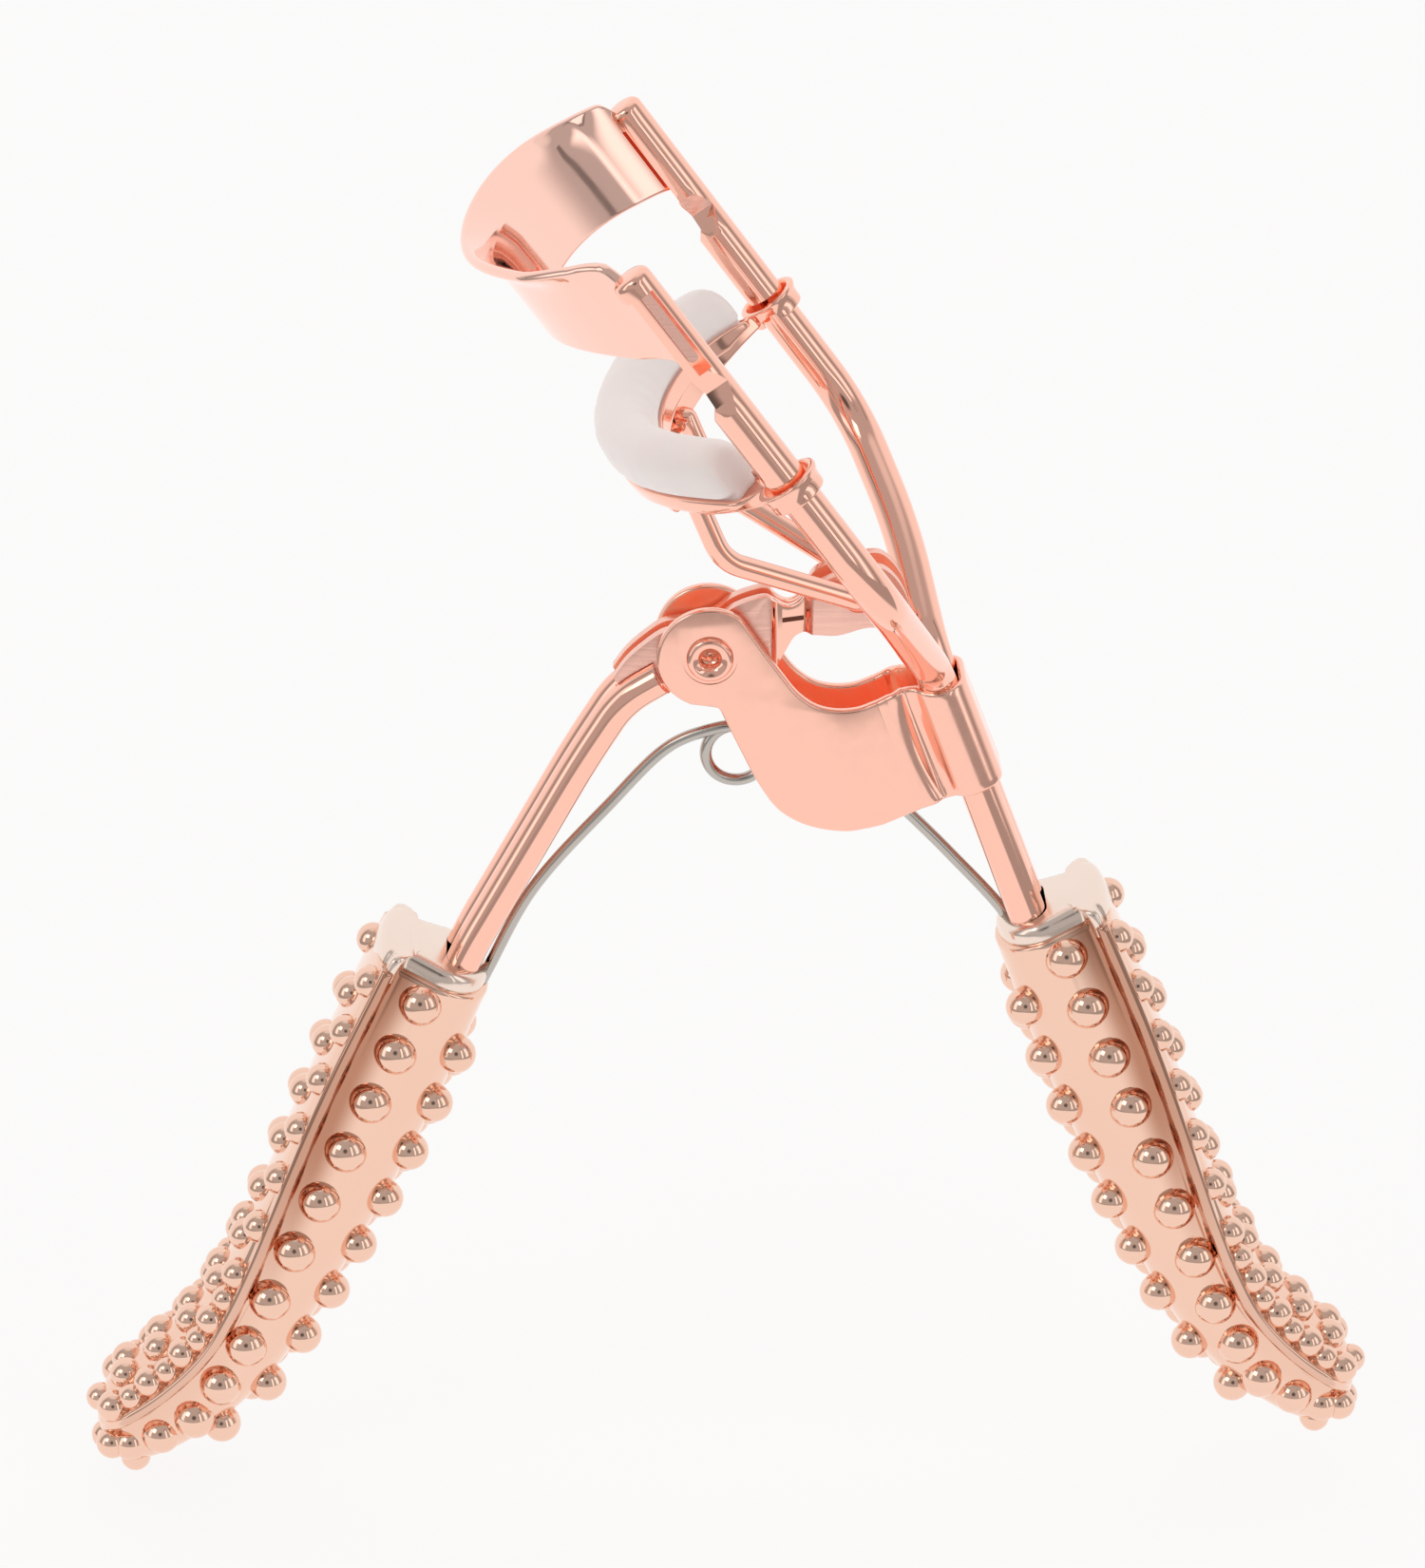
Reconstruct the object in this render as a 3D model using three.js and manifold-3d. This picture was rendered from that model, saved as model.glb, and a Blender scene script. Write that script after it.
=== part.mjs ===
// Eyelash curler, open at rest. Millimetres, +Z up, +X towards the fixed handle, +Y away from the
// near side. The hinge axis is parallel to Y, and the guide rods, wires and jaws are laid out
// evenly about the plane Y = 0.
// Pairs such as PIVOT are layout coordinates [X, Z]. The whole group is then moved by ORIGIN, so
// that the frame's origin is the centre of the underside of the bounding box.
import * as THREE from 'three';
import { mergeVertices } from 'three/addons/utils/BufferGeometryUtils.js';
import Module from 'manifold-3d';

// ---------- driving dimensions ----------
const ORIGIN = [1.17, 0, -57.57];         // layout point (X, Y, Z) that becomes the frame's origin

// wires
const FRAME_WIRE_D = 2.8;                 // guide rods and fixed handle stem
const LEVER_WIRE_D = 2.6;
const YOKE_WIRE_D = 1.6;
const SPRING_WIRE_D = 0.9;
const ROD_HALF = 18;                      // half distance between the guide rods
const STEM_HALF = 1.46;                   // half distance between the paired frame wires
const LEVER_HALF = 1.35;                  // half distance between the paired lever wires

// frame layout
const PIVOT = [-0.25, 11.1];              // hinge axis
const ROD_TOP = [-6.2, 46];
const ROD_BEND = [10.9, 22.3];
const SLEEVE_TOP = [16, 9.4];             // where the two wires come together
const STEM_DIR = [0.3453, -0.9385];       // fixed stem, 20.2 degrees off vertical
const STEM_LEN = 34;
const EYELET = [4.6, 31];                 // eyelet centre on the rod axis

// jaws
const UPPER_SAG = 9.8;                    // depth of the upper jaw's arc
const LOWER_SAG = 10.25;                  // depth of the lower jaw's arc
const PLATE_T = 0.75;                     // upper jaw plate thickness
const UPPER_HALF = 19.25;                 // half length of the upper jaw, into the rods' slots
const ARC_END = 15.6;                     // |Y| at which the upper jaw leaves its arc
const SLOT_LEN = 7.5;                     // slot in each rod top for the upper jaw's end

// hinge
const SHEET_T = 0.8;                      // hinge bracket sheet
const EAR_OUT = 2.65;                     // outer face of the bracket ears
const EAR_R = 3.85;
const RIVET_HOLE_D = 2.8;

// yoke
const YOKE_HOLE = { y: 9.3, up: -0.05 };  // hole in the lower jaw: |Y| and height above the eyelet
const YOKE_BEND = [0.2, 20.7];
const YOKE_CROSS = [10.7, 15.4];          // where the yoke passes through the lever bracket

// grips: start of the centre line, its direction, and the spring's offset outward from it
const FRAME_GRIP = { at: [25.3, -10.8], dir: [0.378, -0.9258], springOffset: -3.35 };
const LEVER_GRIP = { at: [-20.9, -14], dir: [-0.4305, -0.9026], springOffset: -4.2 };
const LEVER_WIRE_OFFSET = -2;             // lever wires from the grip's centre line
const LEVER_WIRE_END = 13.5;              // how far the lever wires reach along the grip
const GRIP_STRAIGHT = 33;                 // grip centre line: straight part, then an arc
const GRIP_ARC_R = 21;
const GRIP_ARC = THREE.MathUtils.degToRad(42);
const GRIP_LEN = GRIP_STRAIGHT + GRIP_ARC_R * GRIP_ARC;
const STUD = { pitch: 4.55, rows: 11, r: 1.75, topRatio: 0.55, height: 1.25, sink: 0.5 };

const wasm = await Module();
wasm.setup();

// ---------- materials ----------
const material = (color, { roughness, metalness }) =>
  new THREE.MeshStandardMaterial({ color, roughness, metalness });
const ROSE = material(0xf4b7a4, { roughness: 0.12, metalness: 1 });
const ROSE_BRUSHED = material(0xe6a695, { roughness: 0.35, metalness: 1 });
const ROSE_GOLD = material(0xf0b08a, { roughness: 0.1, metalness: 1 });
const PALE = material(0xe6dcd4, { roughness: 0.2, metalness: 0.9 });
const STEEL = material(0xc9c4bf, { roughness: 0.2, metalness: 1 });
const SILICONE = material(0xeae2df, { roughness: 0.45, metalness: 0 });

// ---------- meshes and solids ----------
const { lerp, smoothstep } = THREE.MathUtils;
const SIDES = [-1, 1];                    // near, far
const vec = (x, y, z) => new THREE.Vector3(x, y, z);
const at = ([x, z], y = 0) => vec(x, y, z);

// positions only, with shared vertices merged
function plain(geometry) {
  const bare = geometry.index ? geometry.toNonIndexed() : geometry.clone();
  for (const key of Object.keys(bare.attributes)) {
    if (key !== 'position') bare.deleteAttribute(key);
  }
  return mergeVertices(bare, 1e-4);
}

function signedVolume(geometry) {
  const position = geometry.attributes.position;
  const index = geometry.index.array;
  const corners = [vec(), vec(), vec()];
  let volume = 0;
  for (let i = 0; i < index.length; i += 3) {
    corners.forEach((corner, j) => corner.fromBufferAttribute(position, index[i + j]));
    volume += corners[0].dot(corners[1].cross(corners[2])) / 6;
  }
  return volume;
}

// flips every triangle if the mesh is inside out
function outward(geometry) {
  if (signedVolume(geometry) < 0) {
    const index = geometry.index.array;
    for (let i = 0; i < index.length; i += 3) {
      [index[i], index[i + 1]] = [index[i + 1], index[i]];
    }
  }
  return geometry;
}

function toSolid(geometry) {
  const mesh = outward(plain(geometry));
  return new wasm.Manifold(new wasm.Mesh({
    numProp: 3,
    vertProperties: new Float32Array(mesh.attributes.position.array),
    triVerts: new Uint32Array(mesh.index.array),
  }));
}

function toGeometry(solid) {
  const mesh = solid.getMesh();
  const geometry = new THREE.BufferGeometry();
  const positions = new Float32Array(mesh.vertProperties);
  geometry.setAttribute('position', new THREE.BufferAttribute(positions, 3));
  geometry.setIndex(new THREE.BufferAttribute(new Uint32Array(mesh.triVerts), 1));
  return geometry;
}

const union = (solids) => solids.reduce((sum, solid) => sum.add(solid));

const group = new THREE.Group();
group.position.set(-ORIGIN[0], -ORIGIN[1], -ORIGIN[2]);

function addMesh(name, geometry, meshMaterial) {
  const finished = outward(plain(geometry));
  finished.computeVertexNormals();
  const mesh = new THREE.Mesh(finished, meshMaterial);
  mesh.name = name;
  group.add(mesh);
}

// ---------- outlines and forming ----------
const rect = (x0, y0, x1, y1) => [[x0, y0], [x1, y0], [x1, y1], [x0, y1]];

function disc(radius, sides, turn = 0) {
  return Array.from({ length: sides }, (_, i) => {
    const angle = turn + (2 * Math.PI * i) / sides;
    return [radius * Math.cos(angle), radius * Math.sin(angle)];
  });
}

// round-ended slot whose end centres lie at high and low on the second axis
function stadium(radius, high, low, steps = 8) {
  const points = [];
  for (const [start, centre] of [[-Math.PI / 2, high], [Math.PI / 2, low]]) {
    for (let i = 0; i <= steps; i++) {
      const angle = start + Math.PI * i / steps;
      points.push([radius * Math.sin(angle), centre + radius * Math.cos(angle)]);
    }
  }
  return points;
}

// extrusion of an outline whose points are then placed by a function of (x, y, t), t from 0 to 1
function formed(outline, steps, place) {
  const shape = new THREE.Shape(outline.map(([x, y]) => new THREE.Vector2(x, y)));
  const geometry = plain(new THREE.ExtrudeGeometry(shape, { depth: 1, steps, bevelEnabled: false }));
  const position = geometry.attributes.position;
  for (let i = 0; i < position.count; i++) {
    const placed = place(position.getX(i), position.getY(i), position.getZ(i));
    position.setXYZ(i, placed.x, placed.y, placed.z);
  }
  return outward(geometry);
}

// flat plate with its outline in the XZ plane, between two Y values
const plate = (outline, y0, y1) =>
  toSolid(formed(outline, 1, (x, z, t) => vec(x, lerp(y0, y1, t), z)));

// cylinder on the hinge axis
const pivotDrum = (radius, y0, y1, sides = 24) =>
  plate(disc(radius, sides).map(([x, z]) => [PIVOT[0] + x, PIVOT[1] + z]), y0, y1);

// points of a wire: straight runs joined by quadratic bends; setbacks are measured from each corner
function bentWire(points, setbacks, bendSteps) {
  const result = [points[0]];
  setbacks.forEach((setback, i) => {
    const corner = points[i + 1];
    const before = corner.clone().sub(points[i]).normalize();
    const after = points[i + 2].clone().sub(corner).normalize();
    const bend = new THREE.QuadraticBezierCurve3(
      corner.clone().addScaledVector(before, -setback),
      corner,
      corner.clone().addScaledVector(after, setback),
    );
    result.push(...bend.getPoints(bendSteps));
  });
  result.push(points[points.length - 1]);
  return result;
}

// tube along a list of points, on parallel-transported frames that start from a reference vector
function tubeAlong(points, diameter, sides, reference = vec(0, 1, 0)) {
  const last = points.length - 1;
  let normal = reference;
  const frames = points.map((centre, i) => {
    const tangent = points[Math.min(last, i + 1)].clone().sub(points[Math.max(0, i - 1)]).normalize();
    normal = normal.clone().addScaledVector(tangent, -normal.dot(tangent)).normalize();
    return { centre, normal, binormal: tangent.clone().cross(normal) };
  });
  return formed(disc(diameter / 2, sides, Math.PI / sides), last, (x, y, t) => {
    const { centre, normal: across, binormal } = frames[Math.round(t * last)];
    return centre.clone().addScaledVector(across, x).addScaledVector(binormal, y);
  });
}

// ---------- jaw coordinates ----------
// UP runs up the rods; OUT is square to them, towards -X and -Z. Both start at the eyelet centre.
const rodRun = [ROD_TOP[0] - ROD_BEND[0], ROD_TOP[1] - ROD_BEND[1]];
const rodLength = Math.hypot(...rodRun);
const UP = [rodRun[0] / rodLength, rodRun[1] / rodLength];
const OUT = [-UP[1], UP[0]];
const ROD_TOP_UP = (ROD_TOP[0] - EYELET[0]) * UP[0] + (ROD_TOP[1] - EYELET[1]) * UP[1];

const jawPoint = (out, y, up) =>
  vec(EYELET[0] + out * OUT[0] + up * UP[0], y, EYELET[1] + out * OUT[1] + up * UP[1]);

// arc through both rods with the given sag: distance out as a function of y
function arcOfSag(sag) {
  const radius = (ROD_HALF ** 2 + sag ** 2) / (2 * sag);
  return (y) => Math.sqrt(radius ** 2 - y * y) - (radius - sag);
}
const upperArc = arcOfSag(UPPER_SAG);
const lowerArc = arcOfSag(LOWER_SAG);

// the upper jaw leaves its arc near the rods and runs into their slots on a quadratic curve
function upperSpine(y) {
  const distance = Math.abs(y);
  if (distance <= ARC_END) return upperArc(distance);
  const control = 0.25;
  const end = -0.35;
  const u = (distance - ARC_END) / (UPPER_HALF - ARC_END);
  return upperArc(ARC_END) * (1 - u) ** 2 + 2 * u * (1 - u) * control + u * u * end;
}

// point at station y of a spine, moved by offset along its normal, then up, then along its tangent
function spinePoint(spine, y, offset, up, along = 0) {
  const delta = 0.05;
  const rise = spine(y + delta) - spine(y - delta);
  const length = Math.hypot(rise, 2 * delta);
  const normalOut = 2 * delta / length;
  const normalY = -rise / length;
  return jawPoint(
    spine(y) + normalOut * offset - normalY * along,
    y + normalY * offset + normalOut * along,
    up,
  );
}

// fall of the jaws towards their ends, from 0 at the middle to nearly 1 at the rods
const bow = (y) => Math.pow(Math.min(Math.abs(y), 17.5) / 17.9, 4);
const lowerFall = (y) => 2.9 * bow(y);

// station along a jaw for t from 0 to 1; the sine share crowds the stations towards the ends
function crowded(half, sineShare, t) {
  const u = 2 * t - 1;
  return half * (sineShare * Math.sin(u * 0.999 * Math.PI / 2) + (1 - sineShare) * u);
}

// prism standing on a guide rod's axis at the eyelet, between two heights
const onRod = (outline, side, from, to) => toSolid(formed(outline, 1, (out, y, t) =>
  jawPoint(out, side * ROD_HALF + y, lerp(from, to, t))));

// prism along the axis of a yoke hole in the lower jaw
const onYokeHole = (outline, side, from, to) => toSolid(formed(outline, 1, (along, up, t) =>
  spinePoint(lowerArc, side * YOKE_HOLE.y, lerp(from, to, t), YOKE_HOLE.up + up, along)));

// ---------- stem and grip coordinates ----------
// along the fixed stem from the sleeve top, and square to it, positive towards +X
const stemXZ = (along, across = 0) => [
  SLEEVE_TOP[0] + STEM_DIR[0] * along - STEM_DIR[1] * across,
  SLEEVE_TOP[1] + STEM_DIR[1] * along + STEM_DIR[0] * across,
];

// along a grip's straight centre line, and away from the other grip
function gripXZ({ at: start, dir }, along, away) {
  const awayDir = [Math.abs(dir[1]) * Math.sign(dir[0]), Math.abs(dir[0])];
  return [
    start[0] + dir[0] * along + awayDir[0] * away,
    start[1] + dir[1] * along + awayDir[1] * away,
  ];
}

// point at a station of a grip's bent centre line, moved away from the other grip and across in Y
function gripPoint(grip, station, away, y) {
  if (station <= GRIP_STRAIGHT) return at(gripXZ(grip, station, away), y);
  const heading = (station - GRIP_STRAIGHT) / GRIP_ARC_R;
  const reach = GRIP_ARC_R - away;
  const along = GRIP_STRAIGHT + reach * Math.sin(heading);
  return at(gripXZ(grip, along, GRIP_ARC_R - reach * Math.cos(heading)), y);
}

// ---------- frame wires ----------
function frameWirePoints(side) {
  return bentWire([
    at(ROD_TOP, side * ROD_HALF),
    at(ROD_BEND, side * ROD_HALF),
    at(SLEEVE_TOP, side * STEM_HALF),
    at(stemXZ(STEM_LEN), side * STEM_HALF),
  ], [4, 2.6], 6);
}

function frameWire(side) {
  const slotWidth = PLATE_T + 0.2;
  const slotBottom = ROD_TOP_UP - SLOT_LEN;
  // lengthwise slot for the end of the upper jaw, open at the rod's top
  const slot = formed(rect(-0.5, 0, 0.5, 1), 12, (x, row, t) =>
    spinePoint(upperSpine, side * (ARC_END + 4.6 * t), x * slotWidth,
      slotBottom + row * (SLOT_LEN + 1)));
  // flat on the OUT side of the rod, above a step just below the slot
  const flat = formed(rect(1.12, 0, 3, 20), 1, (out, up, t) =>
    jawPoint(out, side * ROD_HALF + (t - 0.5) * 4, slotBottom - 1.2 + up));
  return toGeometry(toSolid(tubeAlong(frameWirePoints(side), FRAME_WIRE_D, 14))
    .subtract(toSolid(slot))
    .subtract(toSolid(flat)));
}

// ---------- upper jaw ----------
// rows from the bottom edge to the top: [share of the height, flare along the spine's normal]
const UPPER_ROWS = [
  [0, 0], [0.34, 0], [0.6, 0.03], [0.74, 0.16], [0.84, 0.48], [0.92, 0.98], [1, 1.55],
];

function upperJaw() {
  const bottom = 14.1;
  const top = 22.45;
  const rows = UPPER_ROWS.map((_, i) => i);
  const section = [...rows.map((row) => [-0.5, row]), ...rows.reverse().map((row) => [0.5, row])];
  return formed(section, 36, (x, row, t) => {
    const y = crowded(UPPER_HALF, 0.6, t);
    const [heightShare, fullFlare] = UPPER_ROWS[Math.round(row)];
    const flare = fullFlare * smoothstep(17 - Math.abs(y), 0, 4.5);
    const up = lerp(bottom, top, heightShare) - 3.2 * bow(y) - 0.12 * flare;
    return spinePoint(upperSpine, y, x * PLATE_T + flare, up);
  });
}

// ---------- lower jaw: channel plate with an eyelet at each end ----------
// channel section: [offset along the spine's normal, height above the eyelet]
const CHANNEL = [
  [-1.95, 1.1], [1.95, 1.1], [1.95, 2.5], [1.45, 2.5],
  [1.45, 1.7], [-1.45, 1.7], [-1.45, 2.5], [-1.95, 2.5],
];

// section swept evenly along the lower jaw's arc
const alongLowerJaw = (section, half, steps) => formed(section, steps, (offset, up, t) => {
  const y = half * (2 * t - 1);
  return spinePoint(lowerArc, y, offset, up - lowerFall(y));
});

function lowerJaw() {
  const wall = formed(rect(-0.4, 0, 0.4, 1), 30, (offset, row, t) => {
    const y = crowded(17.2, 0.5, t);
    const bottom = -0.95 + 0.55 * bow(y);
    const top = Math.max(1.5 - lowerFall(y), 0.2);
    return spinePoint(lowerArc, y, offset, lerp(bottom, top, row));
  });
  let jaw = toSolid(wall).add(toSolid(alongLowerJaw(CHANNEL, 14.4, 24)));
  for (const side of SIDES) jaw = jaw.add(onRod(disc(2.2, 20), side, -0.75, 0.95));
  const bore = disc(FRAME_WIRE_D / 2 + 0.12, 14, Math.PI / 14);
  for (const side of SIDES) {
    jaw = jaw.subtract(onRod(bore, side, -3, 3));
    jaw = jaw.subtract(onYokeHole(disc(0.62, 10), side, -1.5, 1.5));
  }
  return toGeometry(jaw);
}

// ---------- silicone pad ----------
// section: [offset along the spine's normal, height above the eyelet]; a foot fits the channel
const PAD = [
  [-1.3, 1.95], [1.3, 1.95], [1.3, 2.75], [1.95, 2.85], [2.05, 5], [1.6, 5.8],
  [0.7, 6.15], [-0.7, 6.05], [-1.55, 5.4], [-2, 4.4], [-1.95, 2.85], [-1.3, 2.75],
];

// ---------- yoke: one wire from jaw hole to jaw hole, through the lever bracket ----------
function linkYoke() {
  const half = (side) => [
    spinePoint(lowerArc, side * YOKE_HOLE.y, 0.95, YOKE_HOLE.up),
    spinePoint(lowerArc, side * YOKE_HOLE.y, -1.65, YOKE_HOLE.up),
    at(YOKE_BEND, side * 7.1),
    at(YOKE_CROSS, side * 2.5),
  ];
  const corners = [...half(-1), ...half(1).reverse()];
  const points = bentWire(corners, [0.93, 2, 0.8, 0.8, 2, 0.93], 4);
  let yoke = toSolid(tubeAlong(points, YOKE_WIRE_D, 10, vec(0.3, 1, 0.2)));
  // the wire is turned down to a tenon inside the jaw's holes, with a peened head outside
  for (const side of SIDES) {
    yoke = yoke
      .subtract(onYokeHole(rect(-2.5, -2.5, 2.5, 2.5), side, -0.7, 4.3))
      .add(onYokeHole(disc(0.5, 10), side, -0.9, 0.9))
      .add(onYokeHole(disc(0.8, 12), side, 0.55, 1.05));
  }
  return toGeometry(yoke);
}

// ---------- hinge bracket: two ears and a sleeve folded from one sheet ----------
// ear outline [X, Z] after its round end: over the top to the sleeve, then back underneath
const EAR_EDGE = [
  [3.4, 12.1], [4.9, 9.9], [6.2, 8.2], [7.5, 7.25], [8.9, 6.9], [10.4, 7], [11.7, 7.5],
  [13.6, 8.75], [15, 9.1], [17.9, 1.1], [16.6, -0.2], [14.45, -1.3], [12.4, -2.3], [9.7, -2.8],
  [6.9, -2.3], [4.8, -1.05], [3.4, 0.9], [2, 3.7], [0.4, 7.2],
];

// prism along the stem, its section in [across the stem, Y]
const alongStem = (section, from, to) => toSolid(formed(section, 1, (across, y, t) =>
  at(stemXZ(lerp(from, to, t), across), y)));

function hingeBracket() {
  const ear = [];
  for (let degrees = 250; degrees >= 55; degrees -= 13) {
    const angle = THREE.MathUtils.degToRad(degrees);
    ear.push([PIVOT[0] + EAR_R * Math.cos(angle), PIVOT[1] + EAR_R * Math.sin(angle)]);
  }
  ear.push(...EAR_EDGE);
  const earIn = EAR_OUT - SHEET_T;
  const hollowR = FRAME_WIRE_D / 2 + 0.06;
  const sleeveR = hollowR + 0.52;

  let bracket = plate(ear, -EAR_OUT, -earIn).add(plate(ear, earIn, EAR_OUT));
  bracket = bracket.add(alongStem(stadium(sleeveR, STEM_HALF, -STEM_HALF), 0.9, 9.5));
  // crimp grooves where the ears run into the sleeve
  for (const side of SIDES) {
    bracket = bracket.subtract(alongStem(rect(-2.75, side * 2.3, -2, side * 5), -2, 14));
  }
  // the sheet closes between the ears on the -X side of the wires
  bracket = bracket.add(alongStem(rect(-2.7, -2.3, -1.9, 2.3), 1.2, 9.2));
  // one opening for the pair of wires, and clearance where they bend apart
  bracket = bracket.subtract(alongStem(stadium(hollowR, STEM_HALF, -STEM_HALF), -3, 15));
  for (const side of SIDES) {
    const clearance = tubeAlong(frameWirePoints(side), FRAME_WIRE_D + 0.24, 14);
    bracket = bracket.subtract(toSolid(clearance));
  }
  // rivet holes and shallow coined seats
  bracket = bracket.subtract(pivotDrum(RIVET_HOLE_D / 2, -4, 4));
  for (const side of SIDES) {
    bracket = bracket.subtract(pivotDrum(1.95, side * (EAR_OUT - 0.1), side * 4));
  }
  return toGeometry(bracket);
}

// ---------- hinge rivet: hollow, flanged on both sides ----------
function hingeRivet() {
  const shankR = RIVET_HOLE_D / 2 - 0.06;
  const seatY = EAR_OUT - 0.08;
  const boreR = 0.8;
  const lipR = boreR + 0.35;
  // closed profile: [radius, Y]
  const profile = [
    [lipR, -seatY - 0.42], [1.2, -seatY - 0.5], [1.6, -seatY - 0.3], [1.72, -seatY],
    [shankR, -seatY], [shankR, seatY],
    [1.72, seatY], [1.6, seatY + 0.3], [1.2, seatY + 0.5], [lipR, seatY + 0.42],
    [boreR, seatY], [boreR, -seatY], [lipR, -seatY - 0.42],
  ];
  const points = profile.map(([radius, y]) => new THREE.Vector2(radius, y));
  return new THREE.LatheGeometry(points, 24).translate(PIVOT[0], 0, PIVOT[1]);
}

// ---------- lever bracket: two walls joined over the neck, forked for the yoke ----------
// outlines [X, Z]
const TAIL = [
  [-2.4, 12.9], [-3.6, 12.7], [-4.9, 11.8], [-6.2, 10.6], [-7.2, 9.2],
  [-6.2, 7.7], [-4.9, 8], [-3.6, 8.9], [-2, 8.7],
];
const HINGE_WALL = [
  ...[...TAIL].reverse(),
  [-1, 13.1], [0.2, 13.5], [1.3, 14.6], [2.7, 15.1], [4.1, 15.35], [4.7, 13.2],
  [5.3, 10.9], [4.2, 9], [2, 7.9], [0, 7.6], [-1.2, 8.1],
];
const NECK = [
  [4.1, 15.15], [4.9, 15], [6.9, 15.3], [7, 12.5], [6, 12.2], [5.4, 11.2], [4.4, 10.2],
];
const LOBE = [
  [6.6, 15.3], [6.75, 16.2], [8.3, 16.95], [11.2, 17.75], [12.1, 17.75], [13, 17],
  [13.75, 15.8], [14.2, 14.4], [14.2, 13.2], [13.2, 12.9], [11.2, 13.1], [8.9, 12.45],
  [6.7, 12.5],
];
const JOGGLE = [[6.6, 15.25], [7, 15.3], [7.35, 12.5], [6.9, 12.5]];
const BRIDGE = [[4.5, 15], [6.5, 15.1], [6.5, 14.2], [4.5, 14.1]];
const TAIL_IN = 0.5;                      // |Y| of the hinge wall's two faces
const TAIL_OUT = 1.4;
// each wall's plates: [outline, |Y| of the inner face, |Y| of the outer face]
const WALL_PLATES = [
  [HINGE_WALL, TAIL_IN, TAIL_OUT],
  [NECK, 0.3, 1.2],
  [LOBE, 0.95, 1.85],
  [JOGGLE, 0.3, 1.85],                    // steps from the neck out to the lobe
];

function leverBracket() {
  const walls = SIDES.flatMap((side) => WALL_PLATES.map(([outline, inner, outer]) =>
    plate(outline, side * inner, side * outer)));
  // slotted hole for the yoke, longer towards +X
  const slot = stadium(1.02, 0.65, -0.32)
    .map(([z, x]) => [YOKE_CROSS[0] + x, YOKE_CROSS[1] - 0.1 + z]);
  return toGeometry(union([...walls, plate(BRIDGE, -0.5, 0.5)])
    .subtract(pivotDrum(RIVET_HOLE_D / 2 + 0.08, -4, 4))
    .subtract(plate(slot, -4, 4)));
}

// ---------- lever wires ----------
function leverWire(side) {
  const line = [
    [-1.9, 10.3], [-6.6, 7.5], [-9.6, 2.7],
    gripXZ(LEVER_GRIP, -3.6, LEVER_WIRE_OFFSET),
    gripXZ(LEVER_GRIP, LEVER_WIRE_END, LEVER_WIRE_OFFSET),
  ];
  const points = bentWire(line.map((xz) => at(xz, side * LEVER_HALF)), [1.9, 2.2, 1.2], 5);
  // slot for the bracket's tail, enlarged about the tail's middle
  const middle = [-4.6, 9.8];
  const slot = TAIL.map((xz) => xz.map((value, i) => middle[i] + (value - middle[i]) * 1.09));
  const sideGap = 0.12;
  return toGeometry(toSolid(tubeAlong(points, LEVER_WIRE_D, 12))
    .subtract(pivotDrum(EAR_R + 0.35, -4, 4, 32))
    .subtract(plate(slot, side * (TAIL_IN - sideGap), side * (TAIL_OUT + sideGap))));
}

// ---------- return spring: one coil with a leg into each grip ----------
const COIL = { centre: [1.8, 2.65], r: 2.3, halfPitch: 0.55, steps: 22 };

function returnSpring() {
  const { centre: [coilX, coilZ], r, halfPitch, steps } = COIL;
  const legSteps = 16;
  const leg = (line, yAt) =>
    new THREE.CatmullRomCurve3(line.map((xz, i) => at(xz, yAt(i))), false, 'centripetal')
      .getPoints(legSteps);
  const inGrip = (grip, along) => gripXZ(grip, along, grip.springOffset);
  const leverLeg = leg([
    ...[4.5, 1, -1.2].map((along) => inGrip(LEVER_GRIP, along)),
    [-13.3, -8.3], [-7.66, -1.5], [-3, 3.4], [0.3, 4.75],
  ], (i) => -halfPitch * Math.max(0, i - 2) / 4);
  const frameLeg = leg([
    [coilX, coilZ + r], [6.2, 4], [10.9, 0.9], [14.68, -2.89], [17.5, -5.9],
    ...[-1.2, 1, 4.5].map((along) => inGrip(FRAME_GRIP, along)),
  ], (i) => halfPitch * Math.max(0, 1 - i / 5));
  const coil = [];
  for (let i = 0; i <= steps; i++) {
    const angle = Math.PI / 2 + (2 * Math.PI * i) / steps;
    const y = halfPitch * (2 * i / steps - 1);
    coil.push(vec(coilX + r * Math.cos(angle), y, coilZ + r * Math.sin(angle)));
  }
  // the coil already holds the frame leg's first point
  const points = [...leverLeg.slice(0, -1), ...coil, ...frameLeg.slice(1)];
  return tubeAlong(points, SPRING_WIRE_D, 6);
}

// ---------- grips ----------
// sections: [distance away from the other grip, Y]
const BODY_SECTION = [
  [2.75, 3.9], [2, 4], [1, 4.5], [-1.4, 4.6], [-3.4, 4], [-4.9, 2.6], [-5.5, 0],
  [-4.9, -2.6], [-3.4, -4], [-1.4, -4.6], [1, -4.5], [2, -4], [2.75, -3.9],
];
const COVER_SECTION = [
  [3, -4.75], [3.4, -4.75], [4.3, -3.6], [5, -1.9], [5.3, 0],
  [5, 1.9], [4.3, 3.6], [3.4, 4.75], [3, 4.75],
];
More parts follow.
